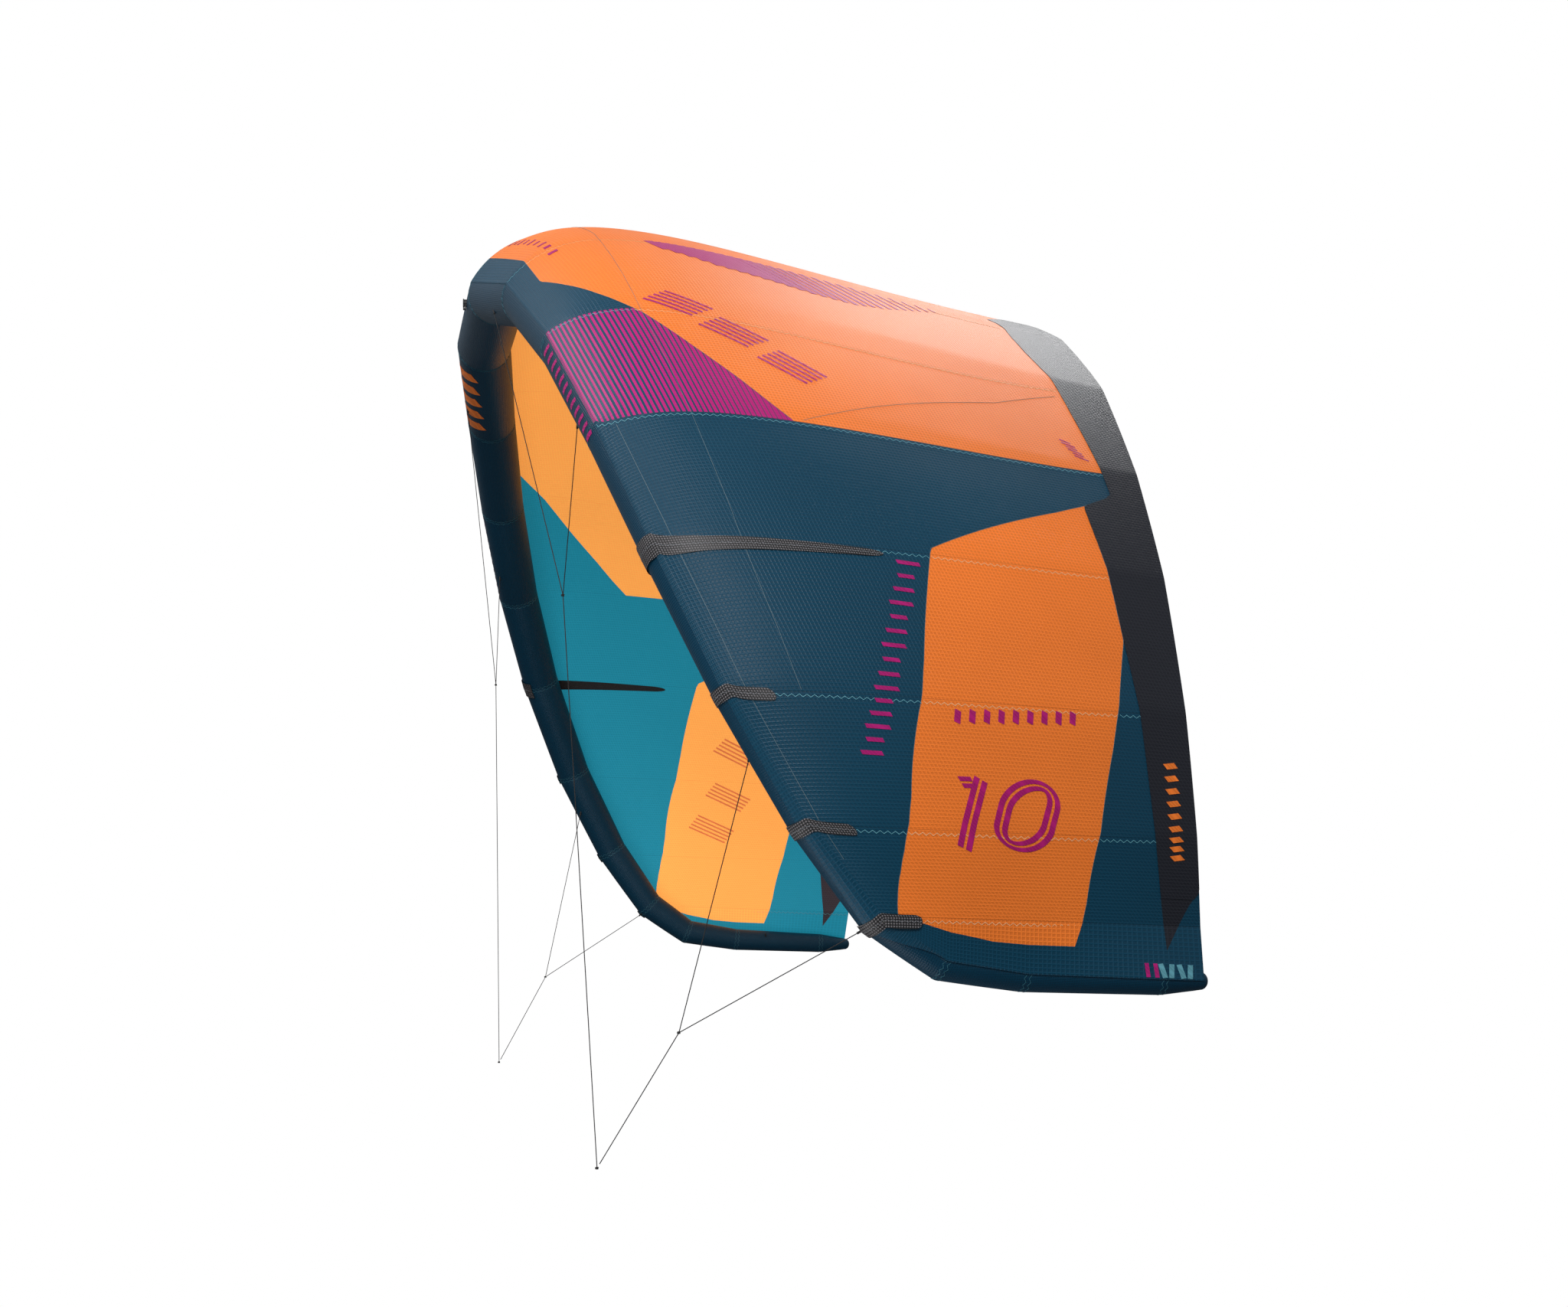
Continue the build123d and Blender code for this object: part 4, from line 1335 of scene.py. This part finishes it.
topBlocks = [(2.09, 0.366), (2.36, 0.473), (2.63, 0.586)]
leftBlocks = [(4.75, 0.755), (5.27, 0.640), (5.68, 0.500)]
tubeBars = {
    "spans": np.arange(1.53, 1.95, 0.038),
    "around": (-0.128, -0.090),  # metres of a bar's ends round from the crown
    "lean": (0.0, 0.010),  # metres of its ends along the span
    "width": 0.013,
}
tubeMarks = {
    "spans": np.array([-0.46, -0.56, -0.66, -0.76, -0.86]),
    "around": (-0.245, -0.165),
    "lean": (0.02, -0.02),
    "width": 0.052,
}
tipBars = {
    "up": (0.037, 0.002),  # metres of a bar's ends up from the tube
    "thin": 0.008,
    "wide": 0.010,  # widths of the magenta and the teal bars
    "magenta": ((0.110, 0.107), (0.093, 0.090)),  # metres of both ends forward of the trailing edge
    "teal": ((0.083, 0.075), (0.061, 0.063), (0.047, 0.039), (0.025, 0.027)),
}


# Bars on the tube, one at each span.
def tubeStrokes(plan):
    return [([(span + lean, around) for lean, around in zip(plan["lean"], plan["around"])], plan["width"])
            for span in plan["spans"]]


tipMagenta = [(list(zip(tipBars["up"], ends)), tipBars["thin"]) for ends in tipBars["magenta"]]
tipTeal = [(list(zip(tipBars["up"], ends)), tipBars["wide"]) for ends in tipBars["teal"]]
columnBars = barRow(15, (4.17, 0.610), (5.50, 0.250), [0.060, 0.042, 0.052], 0.0115, -2.0)
cornerBars = barRow(6, (2.79, 1.335), (2.94, 1.352), [0.030, 0.038], 0.0055, -20.0)
noseBars = barRow(9, (0.15, 0.160), (1.15, 0.155), [0.030, 0.022], 0.018, 0.0)
panelBars = barRow(9, (5.20, 0.525), (5.14, 0.845), [0.040], 0.014, 58.0)
leftHatch = hatchBlocks(leftBlocks, -50.0)
printPiece("numeralRight", numeralStrokes(), canopyMetres, "magenta")
printPiece("panelBarsRight", panelBars, canopyMetres, "magenta")
printPiece("panelBlocksLeft", leftHatch, canopyMetres, "magenta", -1.0)
printPiece("panelReverseLeft", leftHatch, canopyMetres, "reversePrintBacklit", -1.0,
           prints["underCloth"])
printPiece("tubeMarksLeft", tubeStrokes(tubeMarks), tubeMetres, "orangePrint")
for sideName, side in sides:
    for name, strokes, surface in (("columnBars", columnBars, canopyMetres),
                                   ("hatchBlocks", hatchBlocks(topBlocks, -58.0), canopyMetres),
                                   ("cornerBars", cornerBars, canopyMetres),
                                   ("noseBars", noseBars, canopyMetres),
                                   ("tubeBars", tubeStrokes(tubeBars), tubeMetres),
                                   ("tipMagentaBars", tipMagenta, tipMetres),
                                   ("crestBars", wedgeStrokes(), canopyMetres)):
        printPiece(name + sideName.title(), strokes, surface, "magenta", side)
    printPiece("edgeBars" + sideName.title(), edgeStrokes(), canopyMetres, "orangePrint",
               side, prints["overBand"])
    printPiece("tipTealBars" + sideName.title(), tipTeal, tipMetres, "tealPrint", side)
print("prints made")

# Bridle lines and knots.
bridleLine = {
    "diameter": 0.0025,
    "startGap": 0.0004,
    "endGap": 0.001,
    "openGap": 0.012,  # where the closed loop of lines is opened
    "roundSteps": 3,
    "points": 5,
}
upperJoint = np.array([1.440, 0.100, -1.069])
lowerJoint = np.array([1.974, 0.323, -2.195])
frontKnot = np.array([1.882, 0.131, -2.520])
bridle = {
    "upper_leg_inner": ((0.761936, -0.034465, -0.152967), upperJoint, "upper_legs"),
    "upper_leg_outer": ((1.593019, 0.127031, -0.649414), upperJoint, "upper_legs"),
    "lower_leg_inner": ((2.109673, 0.480429, -1.549077), lowerJoint, "lower_legs"),
    "lower_leg_outer": ((2.171831, 0.725476, -1.961590), lowerJoint, "lower_legs"),
    "upper_main": (upperJoint, frontKnot, "upper_main"),
    "lower_main": (lowerJoint, frontKnot, "lower_main"),
}
knotPlan = {"radius": 0.0040, "flatness": 1.6, "ropeRadius": 0.0012, "rows": 120, "around": 10}


# A knot's rope: a tube carried along a trefoil, sin t + 2 sin 2t, cos t - 2 cos 2t and -sin 3t.
def knotPiece(name, place, body, side, replaces):
    turn = np.linspace(0, 2 * math.pi, knotPlan["rows"] + 1)
    path = np.stack([np.sin(turn) + 2 * np.sin(2 * turn), np.cos(turn) - 2 * np.cos(2 * turn),
                     -np.sin(3 * turn) * knotPlan["flatness"]], -1) * knotPlan["radius"] / 3
    travel = unit(np.gradient(path, axis=0))
    travel[0] = travel[-1] = unit(path[1] - path[-2])
    radial = unit(path - travel * (path * travel).sum(-1, keepdims=True))
    other = np.cross(travel, radial)
    angles = np.linspace(0, 2 * math.pi, knotPlan["around"] + 1)[None, :, None]
    circle = radial[:, None, :] * np.cos(angles) + other[:, None, :] * np.sin(angles)
    points = path[:, None, :] + circle * knotPlan["ropeRadius"] + place
    makePiece(name, points, gridFaces(*points.shape[:2]), [materials["line"]], side=side, body=body,
              replaces=replaces)


# A straight line of the bridle from start to end, less a small gap at both.
def linePiece(key, sideName, side):
    start, end, body = bridle[key]
    start, end = np.array(start), np.array(end)
    way = unit(end - start)
    sideways = np.array([side, 1.0, 1.0])
    endGap = bridleLine["openGap" if key == "lower_main" else "endGap"]
    start, end = (start + way * bridleLine["startGap"]) * sideways, (end - way * endGap) * sideways
    curve = bpy.data.curves.new(f"{key}_{sideName}_line", "CURVE")
    curve.dimensions = "3D"
    curve.bevel_depth = bridleLine["diameter"] / 2
    curve.bevel_resolution = bridleLine["roundSteps"]
    curve.use_fill_caps = True
    spline = curve.splines.new("NURBS")
    spline.points.add(bridleLine["points"] - 1)
    for point, share in zip(spline.points, np.linspace(0, 1, bridleLine["points"])):
        point.co = (*(start * (1 - share) + end * share), 1.0)
    spline.order_u = 3
    spline.use_endpoint_u = True
    curve.materials.append(materials["line"])
    title = (key.title() + "_" + sideName.title()).replace("_", "")
    cord = addObject(title[0].lower() + title[1:], curve)
    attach(cord, f"{body}_{sideName}")
    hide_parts(f"{key}_{sideName}")


for sideName, side in sides:
    for key in bridle:
        linePiece(key, sideName, side)
    for name, place, body, node in (("upperKnot", upperJoint, "upper_main", "upper_main"),
                                    ("lowerKnot", lowerJoint, "lower_main", "lower_main"),
                                    ("frontKnot", frontKnot, "upper_main", "front_knot")):
        knotPiece(name + sideName.title(), place, f"{body}_{sideName}", side, [f"{node}_{sideName}"])
print("bridle made")

# Carried-over solids.
kept = {
    "bladder": "bladder", "valve_body": "valve", "valve_cap": "valve",
    "bridle_beckets": "line", "rear_line_loops": "line",
}
for node, finish in kept.items():
    mesh = nodes[node].data
    mesh.materials.clear()
    mesh.materials.append(materials[finish])

# Floor, world and lights.
studio = {
    "floorDrop": 2.1,  # below the lowest line
    "floorSize": 60.0,
    "floorPaint": (0.9, 0.9, 0.9, 1.0),
    "floorBounce": (0.12, 0.13, 0.14, 1.0),  # floor paint that bounced light sees
    "glowFrom": 1.5,  # metres from the middle between which the floor turns to plain white
    "glowTo": 4.5,
    "glowLeast": 0.55,
    "skyColour": (0.95, 0.97, 1.0, 1.0),
    "skyAbove": 0.43,
    "skyBelow": 0.07,
    "skyLow": -0.5,  # heights of the sky between which it goes from the one to the other
    "skyHigh": 0.6,
    "crest": {"place": (-1.9, 3.1, 3.1), "aim": (1.3, 1.15, -0.35), "size": 2.2, "power": 90.0},
    "nose": {"place": (0.6, -2.9, 2.6), "aim": (1.4, 0.05, -0.3), "size": 1.2, "power": 75.0},
    "front": {"place": (7.0, -2.0, 2.8), "aim": (1.4, 0.8, -1.0), "size": 3.0, "power": 400.0},
    "inside": {"place": (2.0, -0.6, -3.4), "aim": (-1.3, 0.9, -1.0), "size": 2.0, "power": 34.0},
}


# One shader where the factor is 0, the other where it is 1.
def blendShaders(tree, factor, first, second):
    blend = tree.nodes.new("ShaderNodeMixShader")
    for socket, source in zip(blend.inputs, (factor, first, second)):
        tree.links.new(source, socket)
    return blend.outputs["Shader"]


half = studio["floorSize"] / 2
level = cadBounds[0].z - studio["floorDrop"]
mesh = bpy.data.meshes.new("floor")
corners = [(x * half, y * half, level) for x, y in ((-1, -1), (1, -1), (1, 1), (-1, 1))]
mesh.from_pydata(corners, [], [(0, 1, 2, 3)])
floor = addObject("floor", mesh)
material, tree, shader = newMaterial("floorPaint")
shader.inputs["Roughness"].default_value = 0.9
seen = tree.nodes.new("ShaderNodeLightPath").outputs["Is Camera Ray"]
paint = mixColour(tree, seen, studio["floorBounce"], studio["floorPaint"])
tree.links.new(paint, shader.inputs["Base Color"])
place = tree.nodes.new("ShaderNodeTexCoord")
flat = tree.nodes.new("ShaderNodeVectorMath")
flat.operation = "MULTIPLY"
flat.inputs[1].default_value = (1.0, 1.0, 0.0)
distance = tree.nodes.new("ShaderNodeVectorMath")
distance.operation = "LENGTH"
tree.links.new(place.outputs["Object"], flat.inputs[0])
tree.links.new(flat.outputs["Vector"], distance.inputs[0])
fade = mapRange(tree, distance.outputs["Value"], studio["glowFrom"], studio["glowTo"], studio["glowLeast"],
                1.0)
glow = tree.nodes.new("ShaderNodeEmission")
output = [node for node in tree.nodes if node.type == "OUTPUT_MATERIAL"][0]
surface = blendShaders(tree, mathNode(tree, "MULTIPLY", fade, seen), shader.outputs["BSDF"],
                       glow.outputs["Emission"])
tree.links.new(surface, output.inputs["Surface"])
mesh.materials.append(material)

# White behind the kite for the camera; light from above and less from below for all else.
world = bpy.data.worlds.new("world")
bpy.context.scene.world = world
world.use_nodes = True
tree = world.node_tree
tree.nodes.clear()
output = tree.nodes.new("ShaderNodeOutputWorld")
white, sky = (tree.nodes.new("ShaderNodeBackground") for _ in range(2))
white.inputs["Color"].default_value = (1.0, 1.0, 1.0, 1.0)
sky.inputs["Color"].default_value = studio["skyColour"]
place = tree.nodes.new("ShaderNodeTexCoord")
split = tree.nodes.new("ShaderNodeSeparateXYZ")
tree.links.new(place.outputs["Generated"], split.inputs["Vector"])
strength = mapRange(tree, split.outputs["Z"], studio["skyLow"], studio["skyHigh"], studio["skyBelow"],
                    studio["skyAbove"])
tree.links.new(strength, sky.inputs["Strength"])
path = tree.nodes.new("ShaderNodeLightPath")
seen = mathNode(tree, "MAXIMUM", path.outputs["Is Camera Ray"], path.outputs["Is Transmission Ray"])
surface = blendShaders(tree, seen, sky.outputs["Background"], white.outputs["Background"])
tree.links.new(surface, output.inputs["Surface"])

for name in ("crest", "nose", "front", "inside"):
    plan = studio[name]
    lamp = bpy.data.lights.new(name + "Light", "AREA")
    lamp.energy = plan["power"]
    lamp.size = plan["size"]
    place, aim = np.array(plan["place"]), np.array(plan["aim"])
    back = unit(place - aim)
    right = unit(np.cross(np.array([0.0, 0.0, 1.0]), back))
    turn = Matrix((right, np.cross(back, right), back)).transposed()
    addObject(name + "Light", lamp).matrix_world = Matrix.Translation(place.tolist()) @ turn.to_4x4()
print("studio made")
